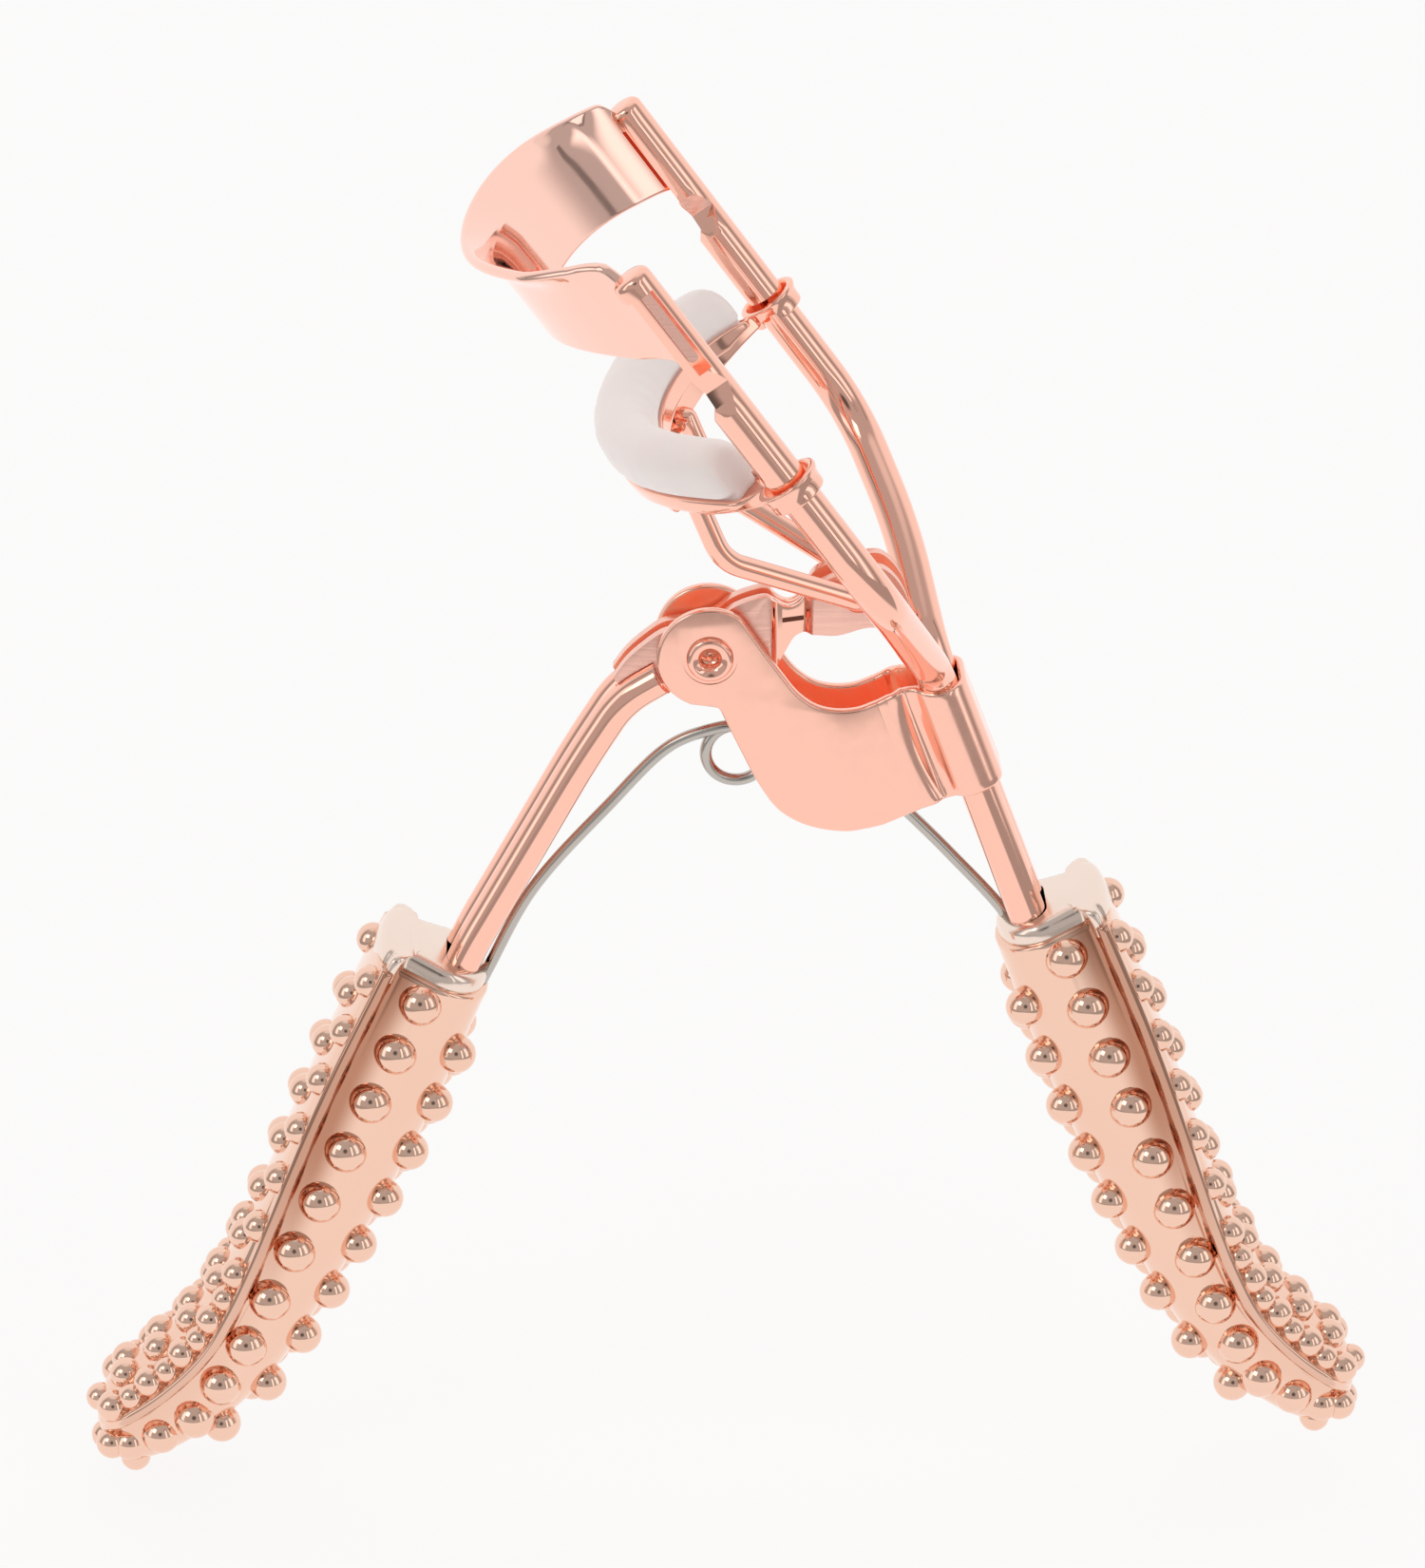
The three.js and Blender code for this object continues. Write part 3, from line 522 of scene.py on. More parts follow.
# ------------------------------------------------------------------ jaw coordinates
# p runs across the frame wires, mostly towards -X; q runs up them from the eyelets.
ROD_DOWN = unit(ROD_BEND - ROD_TOP)
ROD_UP = -ROD_DOWN
ACROSS = np.array([ROD_DOWN[1], -ROD_DOWN[0]])
ROD_AXIS = in_3d(ROD_UP, 0)
ROD_TOP_Q = float(np.dot(ROD_TOP - EYELET, ROD_UP))
UPPER_HALF = 19.25      # half length of the upper jaw along Y
UPPER_TURN = 15.6       # |y| where its ends leave the arc and turn across the wires
DROOP = 2.9             # how far the lower jaw and pad dip towards their ends


def jaw_point(p, y, q):
    return in_3d(EYELET + p * ACROSS + q * ROD_UP, y)


def rod_coords(point, y):
    """Height q along the straight wire at y, and the offset from its axis."""
    offset = point - in_3d(EYELET, y)
    q = float(np.dot(offset, ROD_AXIS))
    return q, offset - ROD_AXIS * q


def arc(sag):
    """p of a circular arc between the frame wires with a given sag."""
    r = (ROD_HALF ** 2 + sag ** 2) / (2 * sag)
    return lambda y: math.sqrt(r * r - y * y) - (r - sag)


upper_arc, lower_spine = arc(9.8), arc(10.25)


def upper_spine(y):
    y = abs(y)
    if y <= UPPER_TURN:
        return upper_arc(y)
    u = (y - UPPER_TURN) / (UPPER_HALF - UPPER_TURN)
    return upper_arc(UPPER_TURN) * (1 - u) ** 2 + 2 * u * (1 - u) * 0.25 - u * u * 0.35


def off_spine(spine, y, x, q):
    """Point at distance x from a spine, square to it, at height q."""
    step = 0.05
    dp, dy = spine(y + step) - spine(y - step), 2 * step
    length = math.hypot(dp, dy)
    return jaw_point(spine(y) + dy / length * x, y - dp / length * x, q)


def bow(y):
    """0 in the middle of a jaw, rising steeply to about 1 at its ends."""
    return (min(abs(y), 17.5) / 17.9) ** 4


# ------------------------------------------------------------------ frame wires
# cutter corners (distance from the wire's axis, height from the wire's top)
FLAT_CUT = [(0.73, -8.6), (0.60, -9.6), (0.62, -10.9), (1.6, -12.2), (4, -12.2),
            (4, -1.0), (0.73, -1.5)]
FACET = 0.62            # depth of the swaged facets
FACET_CUT = [(ROD_R - FACET * 0.15, -8.2), (ROD_R - FACET, -9.8), (ROD_R + 0.25, -12.6),
             (3.2, -12.6), (3.2, -8.2)]
# slot corners (distance from the jaw's spine, height from the wire's top)
JAW_SLOT = [(-0.62, -8.3), (0.42, -8.3), (0.42, -1.5), (-0.62, -1.5)]


def frame_rod(side, tag):
    y, stem_y = side * ROD_HALF, side * STEM_HALF
    points = [in_3d(ROD_TOP, y), in_3d(ROD_BEND, y), in_3d(SLEEVE_TOP, stem_y),
              in_3d(SLEEVE_TOP + 34 * STEM_DIR, stem_y)]
    reaches = [4.0, 2.6]
    if side > 0:
        # the far wire bulges a little between bend and sleeve
        middle = (ROD_BEND + SLEEVE_TOP) / 2 + np.array([0.75, 0.2])
        points.insert(2, in_3d(middle, (y + stem_y) / 2))
        reaches.insert(1, 4.0)
    path = spread(wire(points, reaches, 20), 1.5)
    ob = mesh("rod_" + tag, tube(path, ROD_R, 40, ends=0.6))

    # lengthwise slot for the end of the upper jaw
    rings = []
    for i in range(13):
        slot_y = side * (UPPER_TURN + 4.6 * i / 12)
        rings.append([off_spine(upper_spine, slot_y, x, ROD_TOP_Q + q) for x, q in JAW_SLOT])
    cuts = [mesh("slot", sweep(rings))]
    # flat along the slotted length, ending in a sloped step
    rings = [[jaw_point(p, y + dy, ROD_TOP_Q + q) for p, q in FLAT_CUT] for dy in (-3, 3)]
    cuts.append(mesh("flat", sweep(rings)))
    # swaged facets, one each side of the slot's lower end
    for facet_side in (side, -side):
        rings = [[jaw_point(p, y + facet_side * h, ROD_TOP_Q + q) for h, q in FACET_CUT]
                 for p in (-3, 3)]
        cuts.append(mesh("facet", sweep(rings)))
    boolean(ob, cuts, angle=28)
    bevel(ob, 0.09, segments=2, limit=30, angle=32)
    give(ob, ROSE, "frame", "frame_wire_" + tag)

    def pick(centre, normal):
        q, radial = rod_coords(centre, y)
        if np.linalg.norm(radial) < 1e-6:
            return 0
        facing = float(np.dot(unit(radial), normal))
        if ROD_TOP_Q - 13.2 < q < ROD_TOP_Q - 8.5 and facing < 0.94:
            return 1      # swaged facets
        # the walls of the slot get the painted glow of light bounced inside it
        if ROD_TOP_Q - 8.5 <= q < ROD_TOP_Q - 1.4 and facing < 0.75:
            return 2      # walls of the slot
        return 0

    paint(ob, [BRUSHED, PAINTED_GLOW_INSIDE], pick)


frame_rod(-1, "near")
frame_rod(1, "far")

# ------------------------------------------------------------------ upper jaw
UPPER_LO, UPPER_HI = 14.1, 22.45    # q of the lash edge and of the flared rim
UPPER_H = UPPER_HI - UPPER_LO
UPPER_T = 0.375                     # half thickness of the plate
UPPER_EDGE = 0.3 / UPPER_H          # rounded edge as a fraction of the height
# flare of the plate (mm) against the fraction of its height
FLARE = ([0, 0.34, 0.6, 0.74, 0.84, 0.92, 1.0], [0, 0, 0.03, 0.16, 0.48, 0.98, 1.55])
flare_v = np.linspace(0, 1, 40)
flare_off = np.interp(flare_v, *FLARE)
for _ in range(6):
    flare_off[1:-1] = (flare_off[:-2] + 2 * flare_off[1:-1] + flare_off[2:]) / 4


def upper_at(y, x, v):
    """x across the plate thickness, v from 0 at the lash edge to 1 at the flared rim."""
    fade = smooth((17.0 - abs(y)) / 4.5)
    v_lo, v_hi = max(v - 0.02, 0), min(v + 0.02, 1)
    flare = float(np.interp(v, flare_v, flare_off)) * fade
    # tilt of the plate where it flares
    lean = float(np.interp(v_hi, flare_v, flare_off) - np.interp(v_lo, flare_v, flare_off)) * fade
    rise = UPPER_H * (v_hi - v_lo)
    slope = math.hypot(lean, rise)
    corner_drop = 1.5 * v * v * smooth((abs(y) - 17.0) / 0.9)
    q = UPPER_LO + UPPER_H * v - 3.2 * bow(y) - 0.12 * flare - x * lean / slope - corner_drop
    return off_spine(upper_spine, y, x * rise / slope + flare, q)


def upper_ring(y):
    ring = []
    for face, heights, edge, inset in ((-1, flare_v, 1.0, 1 - UPPER_EDGE),
                                       (1, flare_v[::-1], 0.0, UPPER_EDGE)):
        for v in heights:
            ring.append(upper_at(y, face * UPPER_T, UPPER_EDGE + (1 - 2 * UPPER_EDGE) * v))
        tip = upper_at(y, 0, edge) - upper_at(y, 0, inset)
        for k in range(1, 8):
            a = math.pi * k / 8
            ring.append(upper_at(y, face * UPPER_T * math.cos(a), inset) + tip * math.sin(a))
    return ring


def upper_jaw():
    stations = []
    for i in range(181):
        u = i / 90 - 1
        eased = math.sin(u * math.pi / 2 * 0.999)
        stations.append(UPPER_HALF * eased * 0.6 + UPPER_HALF * u * 0.4)
    stations[0], stations[-1] = -UPPER_HALF, UPPER_HALF
    ob = mesh("jaw_upper", sweep([upper_ring(y) for y in stations]), 50)
    give(ob, ROSE_JAW, "frame", "upper_jaw")
    # sheared ends of the plate, seen in the slots of the wires
    paint(ob, [BRUSHED], lambda centre, normal: int(abs(centre[1]) > UPPER_HALF - 0.1))


upper_jaw()

# ------------------------------------------------------------------ lower jaw
LOWER_HALF = 17.35          # half length of the wall
WEB, CHANNEL = 0.40, 1.95   # half widths of the wall and of the channel on top of it
LOWER_RADII = [0.22, 0.22, 0.25, 0.35, 0.2, 0.2, 0.1, 0.1, 0.2, 0.2, 0.35, 0.25]
# eyelet section (radius, height) and the radii of its corners
EYELET_SECTION = [(1.6, -1.4), (2.05, -1.4), (2.06, -0.5), (2.4, 0.22), (1.72, 0.26)]
EYELET_RADII = [0.2, 0.3, 0.4, 0.42, 0.35]


def lower_ring(y):
    """Upright wall with an open channel on top."""
    dip = DROOP * bow(y)
    # channel closes into the wall near the eyelets
    k = smooth((16.75 - abs(y)) / 0.9)
    half = WEB + (CHANNEL - WEB) * k
    foot = -0.95 - 0.15 * bow(y)
    base = max(1.15 - dip, 0.05)
    top = max(2.5 - dip, 0.3) if k > 0 else max(1.5 - dip, 0.35)
    top = base + (top - base) * (0.35 + 0.65 * k)
    inner = max(half - 0.5, 0.12)
    floor = base + (top - base) * (0.42 if k > 0.02 else 0.9)
    outer = half + 0.002
    section = [(-WEB, foot), (WEB, foot), (WEB + 0.001, base), (outer, base + 0.05),
               (outer, top), (inner, top), (inner, floor), (-inner, floor), (-inner, top),
               (-outer, top), (-outer, base + 0.05), (-WEB - 0.001, base)]
    return [off_spine(lower_spine, y, x, q) for x, q in round_poly(section, LOWER_RADII, 4)]


def lower_jaw():
    rings = []
    for i in range(121):
        u = i / 60 - 1
        rings.append(lower_ring(LOWER_HALF * (0.5 * math.sin(u * math.pi / 2 * 0.999) + 0.5 * u)))
    ob = mesh("jaw_lower", sweep(rings), 45)
    section = round_poly(EYELET_SECTION, EYELET_RADII, 6)
    eyelets = [mesh("eyelet", lathe(section, jaw_point(0, side * ROD_HALF, 0), ROD_AXIS, 72))
               for side in (-1, 1)]
    boolean(ob, eyelets, 45, "UNION")
    # the bore stays open where the wall runs into the eyelet
    bores = []
    angles = np.arange(40) * 2 * np.pi / 40
    for side in (-1, 1):
        bore_y = side * (ROD_HALF - 0.22)
        rings = [[jaw_point(0.1 + 1.72 * math.cos(a), bore_y + 1.86 * math.sin(a), q)
                  for a in angles] for q in (-3, 3)]
        bores.append(mesh("bore", sweep(rings)))
    boolean(ob, bores, 45)
    give(ob, ROSE, "jaw", "lower_jaw")

    # faces inside the bores get the painted glow of light bounced inside them
    def in_bore(centre, normal):
        for side in (-1, 1):
            _, radial = rod_coords(centre, side * ROD_HALF)
            if np.linalg.norm(radial) < 2.05 and np.dot(radial, normal) < -0.9:
                return 1
        return 0

    paint(ob, [PAINTED_GLOW_INSIDE], in_bore)


lower_jaw()

# ------------------------------------------------------------------ silicone pad
PAD_HALF, PAD_ROUND = 16.0, 0.8     # half length, and rounding of the ends
PAD_SPANS = 110
PAD_MID_Q = 3.9
# section (distance from the jaw's spine, height q)
PAD_SECTION = [(-1.25, 1.9), (0, 1.85), (1.25, 1.9), (1.42, 2.5), (1.95, 2.95), (2.08, 3.9),
               (2.0, 5.0), (1.6, 5.75), (0.75, 6.12), (-0.6, 6.05), (-1.5, 5.45),
               (-1.98, 4.4), (-1.95, 3.0), (-1.42, 2.5)]


def silicone_pad():
    section = curve(PAD_SECTION, 5, closed=True)
    centre = np.array([0.0, PAD_MID_Q])
    # stations (y, inset of the section)
    start = []
    for k in range(7):
        f = k / 6 * math.pi / 2
        start.append((-PAD_HALF + PAD_ROUND * (1 - math.cos(f)), PAD_ROUND * (1 - math.sin(f))))
    straight = PAD_HALF - PAD_ROUND
    middle = [(-straight + 2 * straight * i / PAD_SPANS, 0.0) for i in range(1, PAD_SPANS)]
    end = [(-y, inset) for y, inset in reversed(start)]
    rings = []
    for y, inset in start + middle + end:
        ring = []
        for x, q in section:
            d = np.array([x, q]) - centre
            d = d * (1 - inset / max(np.linalg.norm(d), 1e-6))
            # very slight unevenness of moulded rubber, above the channel only
            wobble = 0.02 * math.sin(y * 1.7 + q) + 0.015 * math.sin(y * 3.1 + 2 * x)
            ring.append(off_spine(lower_spine, y, d[0] * (1 + 0.5 * wobble * (q > 2.9)),
                                  PAD_MID_Q + d[1] - DROOP * bow(y)))
        rings.append(ring)
    ob = mesh("pad_silicone", sweep(rings), 60)
    give(ob, SILICONE, "jaw", "silicone_pad")


silicone_pad()

# ------------------------------------------------------------------ yoke
YOKE_Y = 7.3        # where the yoke's ends pass through the lower jaw
# domed head (radius, height)
PEENED_HEAD = [(0.62, 0), (0.86, 0.1), (0.9, 0.28), (0.78, 0.48), (0.5, 0.62), (0.0001, 0.68)]


def yoke():
    def on_jaw(x, q, side):
        point = off_spine(lower_spine, YOKE_Y, x, q)
        point[1] *= side
        return point

    def half(side):
        return [on_jaw(-0.95, -0.45, side), in_3d(YOKE_BEND + np.array([0.3, -0.1]), side * 7.0),
                in_3d(YOKE_PIN, side * 2.5)]

    path = spread(wire(half(-1) + half(1)[::-1], [1.6, 0.9, 0.9, 1.6], 14), 1.0)
    parts = [tube(path, YOKE_R, 32, (0.3, 1, 0.2), 0.05)]
    # each end turns into the jaw wall
    for side in (-1, 1):
        turn = [on_jaw(x, q, side) for x, q in ((-0.95, -0.45), (-0.8, -0.25), (-0.42, -0.15))]
        parts.append(ball(turn[0], YOKE_R, 28, 16))
        parts.append(tube(turn, YOKE_R, 28, (0.1, 0.2, 1), 0.05))
    # pins through the wall with peened heads
    head = np.vstack([curve(PEENED_HEAD, 4), [[0.0001, 0.68], [0.0001, 0]]])
    for side in (-1, 1):
        a, b = on_jaw(-0.9, -0.05, side), on_jaw(1.05, -0.05, side)
        pin = [a, (a + b) / 2, on_jaw(0.6, -0.05, side)]
        parts.append(tube(pin, 0.5, 24, (0.1, 0.2, 1), 0.1))
        parts.append(lathe(head, on_jaw(0.42, -0.05, side), unit(b - a), 28, (0, 0, 1)))
    ob = mesh("yoke_wire", join(parts), 45)
    give(ob, ROSE, "jaw", "link_yoke")


yoke()

# ------------------------------------------------------------------ hinge bracket
# Stem coordinates: x square to the stem (towards +X), a down the stem from SLEEVE_TOP.
STEM_SIDE = np.array([-STEM_DIR[1], STEM_DIR[0]])
SLEEVE_R = 1.98
# XZ edges of the ears between the hinge and the sleeve
EAR_TOP = [(3.4, 12.1), (4.9, 9.9), (6.2, 8.2), (7.5, 7.25), (8.9, 6.9), (10.4, 7.0), (11.7, 7.5)]
EAR_BOTTOM = [(11.4, -2.55), (9.7, -2.8), (6.9, -2.3), (4.8, -1.05), (3.4, 0.9), (2.0, 3.7),
              (0.4, 7.2)]
# upper and lower edge of the sleeve (x, a)
SLEEVE_UPPER = np.array([[-4.69, 0.30], [-3.6, 0.16], [-2.7, 0.10], [-1.9, 0.28], [-0.9, 0.7],
                         [0.2, 0.95], [1.98, 1.0]])
SLEEVE_LOWER = np.array([[-5.15, 9.5], [-3.6, 9.55], [-2.75, 9.45], [-1.9, 9.5], [1.98, 9.5]])
# outer line of the sheet from ear to crimp (x, |y|)
CRIMP_LINE = [(-4.6, 2.654), (-4.2, 2.652), (-3.9, 2.64), (-3.55, 2.57), (-3.2, 2.38),
              (-2.95, 2.16), (-2.75, 2.02), (-2.62, 2.06), (-2.5, 2.0), (-2.2, 2.02),
              (-1.95, 2.2), (-1.72, 2.44)]


def by_stem(x, a):
    return SLEEVE_TOP + STEM_SIDE * x + STEM_DIR * a


def ear_outline():
    angles = [math.radians(a) for a in range(250, 54, -5)]
    round_end = [(PIVOT[0] + EAR_R * math.cos(a), PIVOT[1] + EAR_R * math.sin(a)) for a in angles]
    return np.vstack([round_end[:-1], curve([round_end[-1]] + EAR_TOP, 6),
                      [by_stem(-4.3, 0.28), by_stem(-4.3, 9.52), (12.4, -2.3)],
                      curve(EAR_BOTTOM, 6)])


def sheet_line():
    """Outer line of the folded sheet seen along the stem (x, y), near ear to far ear."""
    bend = []
    for k in range(1, 26):
        a = math.radians(150 - k * 150 / 25.0)
        bend.append((SLEEVE_R * math.cos(a), STEM_HALF + SLEEVE_R * math.sin(a)))
    half = np.vstack([curve(CRIMP_LINE, 3), bend])
    # flat back between the two wires
    back = [(SLEEVE_R, 2 * STEM_HALF * k / 8 - STEM_HALF) for k in range(1, 8)]
    return np.vstack([half * [1, -1], back, half[::-1]])


def sheet_ring(x, y, nx, ny):
    """Section of the sheet down the stem at one point of its line, with rounded edges."""
    spans, edge = 22, 0.3
    a0 = float(np.interp(x, SLEEVE_UPPER[:, 0], SLEEVE_UPPER[:, 1]))
    a1 = float(np.interp(x, SLEEVE_LOWER[:, 0], SLEEVE_LOWER[:, 1]))
    thick = SHEET if x < -1.7 else 0.55
    crimp = smooth((x + 3.9) / 1.0) * smooth((-1.55 - x) / 0.7)

    def at(a, depth):
        lens = math.sin(math.pi * np.clip((a - a0) / (a1 - a0), 0, 1)) ** 0.7
        d = depth - 0.42 * crimp * (1 - lens)
        return in_3d(by_stem(x - nx * d, a), y - ny * d)

    line = [a0 + edge + (a1 - a0 - 2 * edge) * k / spans for k in range(spans + 1)]
    turn = []
    for k in range(1, 6):
        f = math.pi / 2 * k / 5
        turn.append((edge * math.sin(f), min(edge, thick / 2) * (1 - math.cos(f))))
    ring = [at(a, 0) for a in line]
    ring += [at(a1 - edge + s, d) for s, d in turn]
    ring += [at(a1 - edge + s, thick - d) for s, d in turn[::-1]]
    ring += [at(a, thick) for a in line[::-1]]
    ring += [at(a0 + edge - s, thick - d) for s, d in turn]
    ring += [at(a0 + edge - s, d) for s, d in turn[::-1]]
    return ring


def hinge_bracket():
    line = sheet_line()
    tangent = np.gradient(line, axis=0)
    tangent /= np.linalg.norm(tangent, axis=1)[:, None]
    rings = []
    for (x, y), (tx, ty) in zip(line, tangent):
        normal = np.array([ty, -tx])
        if np.dot(normal, [x if x > -1.9 else 0.0, y]) < 0:
            normal = -normal
        rings.append(sheet_ring(x, y, *normal))
    ob = mesh("bracket_hinge", sweep(rings), 40)
    ears = []
    for side in (-1, 1):
        ear = mesh("ear", plate(ear_outline(), *sorted((side * (EAR_OUT - SHEET), side * EAR_OUT))))
        bevel(ear, 0.27, segments=5, limit=50, angle=40)
        # bore and shallow coined seat
        bore = mesh("bore", pivot_drill(1.4, 6, 48))
        seat = mesh("seat", pivot_lathe([(0.001, EAR_OUT - 0.1), (1.98, EAR_OUT - 0.1),
                                         (2.06, EAR_OUT + 1), (0.001, EAR_OUT + 1)], 64, side))
        boolean(ear, [bore, seat], 40)
        ears.append(ear)
    for ear in ears:
        merge(ob, ear)
    shade(ob, 40)
    give(ob, ROSE_SHEET, "frame", "hinge_bracket")

    def inside(centre, normal):
        # the faces that look at each other across the gap get a painted glow and a rougher finish
        x, y, _ = centre
        return int(abs(y) < 1.88 and y * normal[1] < -0.8 and x < 15.5)

    paint(ob, [PAINTED_GLOW_INSIDE], inside)


hinge_bracket()


# ------------------------------------------------------------------ rivet
def rivet():
    seat = EAR_OUT - 0.1
    # rolled head from the hollow mouth to the rim (radius, height)
    head = curve([(0.62, 0.5 - seat), (0.66, 0.05 - seat), (0.82, -seat - 0.2),
                  (1.05, -seat - 0.36), (1.28, -seat - 0.46), (1.5, -seat - 0.4),
                  (1.66, -seat - 0.22), (1.7, -seat - 0.01)], 4)
    shank = [(1.36, -seat - 0.01), (1.36, seat + 0.01)]
    parts = [pivot_lathe(np.vstack([head, shank, head[::-1] * [1, -1]]), 72)]
    # faceted swaged mouth
    mouth = [(0.0002, 1.0 - seat), (0.12, 0.98 - seat), (0.5, 0.55 - seat), (0.66, 0.42 - seat),
             (0.66, 1.3 - seat), (0.0002, 1.3 - seat)]
    for flip in (1, -1):
        parts.append(pivot_lathe([(r, h * flip) for r, h in mouth], 8))
    ob = mesh("rivet_hinge", join(parts), 40)
    give(ob, ROSE, "frame", "hinge_rivet")


rivet()

# ------------------------------------------------------------------ lever bracket
# XZ outline: upper edge from the tail to the fork, then the lower edge back
LEVER_TOP = [(-7.2, 9.2), (-6.2, 10.6), (-4.9, 11.8), (-3.6, 12.7), (-2.4, 12.95), (-1.0, 13.1),
             (0.2, 13.6), (1.3, 14.5), (2.7, 15.1), (3.9, 15.3), (4.6, 14.75), (5.4, 14.35),
             (6.2, 14.7), (6.8, 15.6), (7.4, 16.4), (8.6, 17.05), (11.0, 17.7), (12.1, 17.7),
             (13.0, 17.0), (13.75, 15.8), (14.2, 14.4)]
LEVER_BOTTOM = [(14.2, 14.4), (14.15, 13.4), (13.2, 12.95), (11.2, 13.1), (8.9, 12.5),
                (7.0, 12.55), (6.0, 12.2), (5.2, 10.9), (4.2, 9.2), (2.0, 7.95), (0, 7.6),
                (-1.4, 8.2), (-2.4, 8.8), (-3.6, 8.8), (-4.9, 8.1), (-6.2, 7.8), (-7.2, 9.2)]
NECK_NOTCH = [(5.0, 13.2), (6.55, 13.4), (6.55, 14.2), (5.0, 14.0)]
SADDLE_TOP = [(4.35, 15.0), (4.8, 14.62), (5.4, 14.35), (6.0, 14.6), (6.6, 15.25)]
SADDLE_FOOT = [(6.6, 13.2), (4.35, 13.2)]


def wall_y(x):
    """Inner face of a lever wall: closer together at the neck, wider apart at the fork."""
    neck = 0.5 - 0.42 * smooth((x - 4.1) / 0.55)
    return neck + 0.87 * smooth((x - 6.55) / 0.7)


def lever_wall(side):
    outline = np.vstack([curve(LEVER_TOP, 5)[:-1], curve(LEVER_BOTTOM, 5)[:-1]])
    # both walls take the bracket's name; the second is merged into the first
    wall = mesh("bracket_lever", plate(outline, 0.0, 0.9))
    bm = bmesh.new()
    bm.from_mesh(wall.data)
    # extra edges where the wall bends
    for x in np.arange(3.9, 7.6, 0.09):
        bmesh.ops.bisect_plane(bm, geom=bm.verts[:] + bm.edges[:] + bm.faces[:],
                               plane_co=((x + ORIGIN[0]) / 1000, 0, 0), plane_no=(1, 0, 0))
    for v in bm.verts:
        v.co.y = side * (v.co.y + wall_y(v.co.x * 1000 - ORIGIN[0]) / 1000)
    bmesh.ops.recalc_face_normals(bm, faces=bm.faces)
    bm.to_mesh(wall.data)
    bm.free()
    bevel(wall, 0.2, segments=4, limit=50, angle=35)
    slot = stadium([YOKE_PIN + np.array([0.65, -0.1]), YOKE_PIN + np.array([-0.32, -0.1])],
                   1.02, -math.pi / 2, 16)
    boolean(wall, [mesh("notch", plate(NECK_NOTCH, *sorted((0, side * 4)))),
                   mesh("slot", plate(slot, -4, 4)),
                   mesh("bore", pivot_drill(1.48, 5, 40))], 35)
    return wall


def lever_bracket():
    ob = lever_wall(-1)
    merge(ob, lever_wall(1))
    # saddle between the walls over the neck
    rings = []
    for k in range(13):
        t = k / 12
        y = -0.55 + 1.1 * t
        dip = 0.28 * (1 - (2 * t - 1) ** 2)
        rings.append([(x, y, z - dip) for x, z in curve(SADDLE_TOP, 2)] +
                     [(x, y, z) for x, z in SADDLE_FOOT])
    merge(ob, mesh("saddle", sweep(rings), 40))
    shade(ob, 35)
    give(ob, BRUSHED, "lever", "lever_bracket")

    def pick(centre, normal):
        x, y, _ = centre
        # inner faces get the painted glow of light bounced between the walls
        if abs(y) < wall_y(x) + 0.12 and y * normal[1] < 0 and abs(normal[1]) > 0.6:
            return 1      # inner faces
        return 2 if 4.2 < x < 6.9 else 0      # neck

    paint(ob, [PAINTED_GLOW_INSIDE, ROSE], pick)


lever_bracket()


# ------------------------------------------------------------------ grip frames
def grip_frame(name, start, along, wire_t, spring_t, wire_half, wire_r):
    """Open end, direction, and outward normal of a grip in the XZ plane.

    wire_t and spring_t place the wires and the spring along the normal.
    """
    start, along = np.array(start), np.array(along)
    out = np.array([math.copysign(along[1], along[0]), abs(along[0])])
    return SimpleNamespace(name=name, start=start, along=along, out=out, wire_t=wire_t,
                           spring_t=spring_t, wire_half=wire_half, wire_r=wire_r)


FRAME_GRIP = grip_frame("frame", (25.3, -10.8), (0.378, -0.9258), wire_t=-1.6, spring_t=-3.35,
                        wire_half=STEM_HALF, wire_r=ROD_R)
LEVER_GRIP = grip_frame("lever", (-20.9, -14.0), (-0.4305, -0.9026), wire_t=-2.0, spring_t=-4.2,
                        wire_half=LEVER_HALF, wire_r=LEVER_R)


def in_grip(grip, a, t):
    return grip.start + grip.along * a + grip.out * t


# ------------------------------------------------------------------ lever wires
# XZ outline of the bracket's tail, which the wires are cut to fit
TAIL = [(-2.4, 12.9), (-3.6, 12.7), (-4.9, 11.8), (-6.2, 10.6), (-7.2, 9.2), (-6.2, 7.7),
        (-4.9, 8.0), (-3.6, 8.9), (-2.0, 8.7)]
TAIL_MID = np.array([-4.6, 9.8])


def lever_rod(side, tag):
    points = [(-1.9, 10.3), (-6.6, 7.5), (-9.6, 2.7), in_grip(LEVER_GRIP, -3.6, LEVER_GRIP.wire_t),
              in_grip(LEVER_GRIP, 13.5, LEVER_GRIP.wire_t)]
    points = [in_3d(p, side * LEVER_HALF) for p in points]
    path = spread(wire(points, [1.9, 2.2, 1.2], 12), 1.5)
    ob = mesh("lever_rod_" + tag, tube(path, LEVER_R, 36, ends=0.2))
    tail = TAIL_MID + (np.array(TAIL) - TAIL_MID) * 1.09
    boolean(ob, [mesh("tail", plate(tail, *sorted((side * 0.38, side * 1.52)))),
                 mesh("ear_room", pivot_drill(EAR_R + 0.3, 5, 64))], 32)
    bevel(ob, 0.07, segments=2, limit=40, angle=35)
    give(ob, ROSE, "lever", "lever_wire_" + tag)


lever_rod(-1, "near")
lever_rod(1, "far")

# ------------------------------------------------------------------ return spring
COIL, COIL_R = np.array([1.8, 2.65]), 2.3
COIL_Y = 0.55       # the coil runs from -COIL_Y to COIL_Y
COIL_STEPS = 72
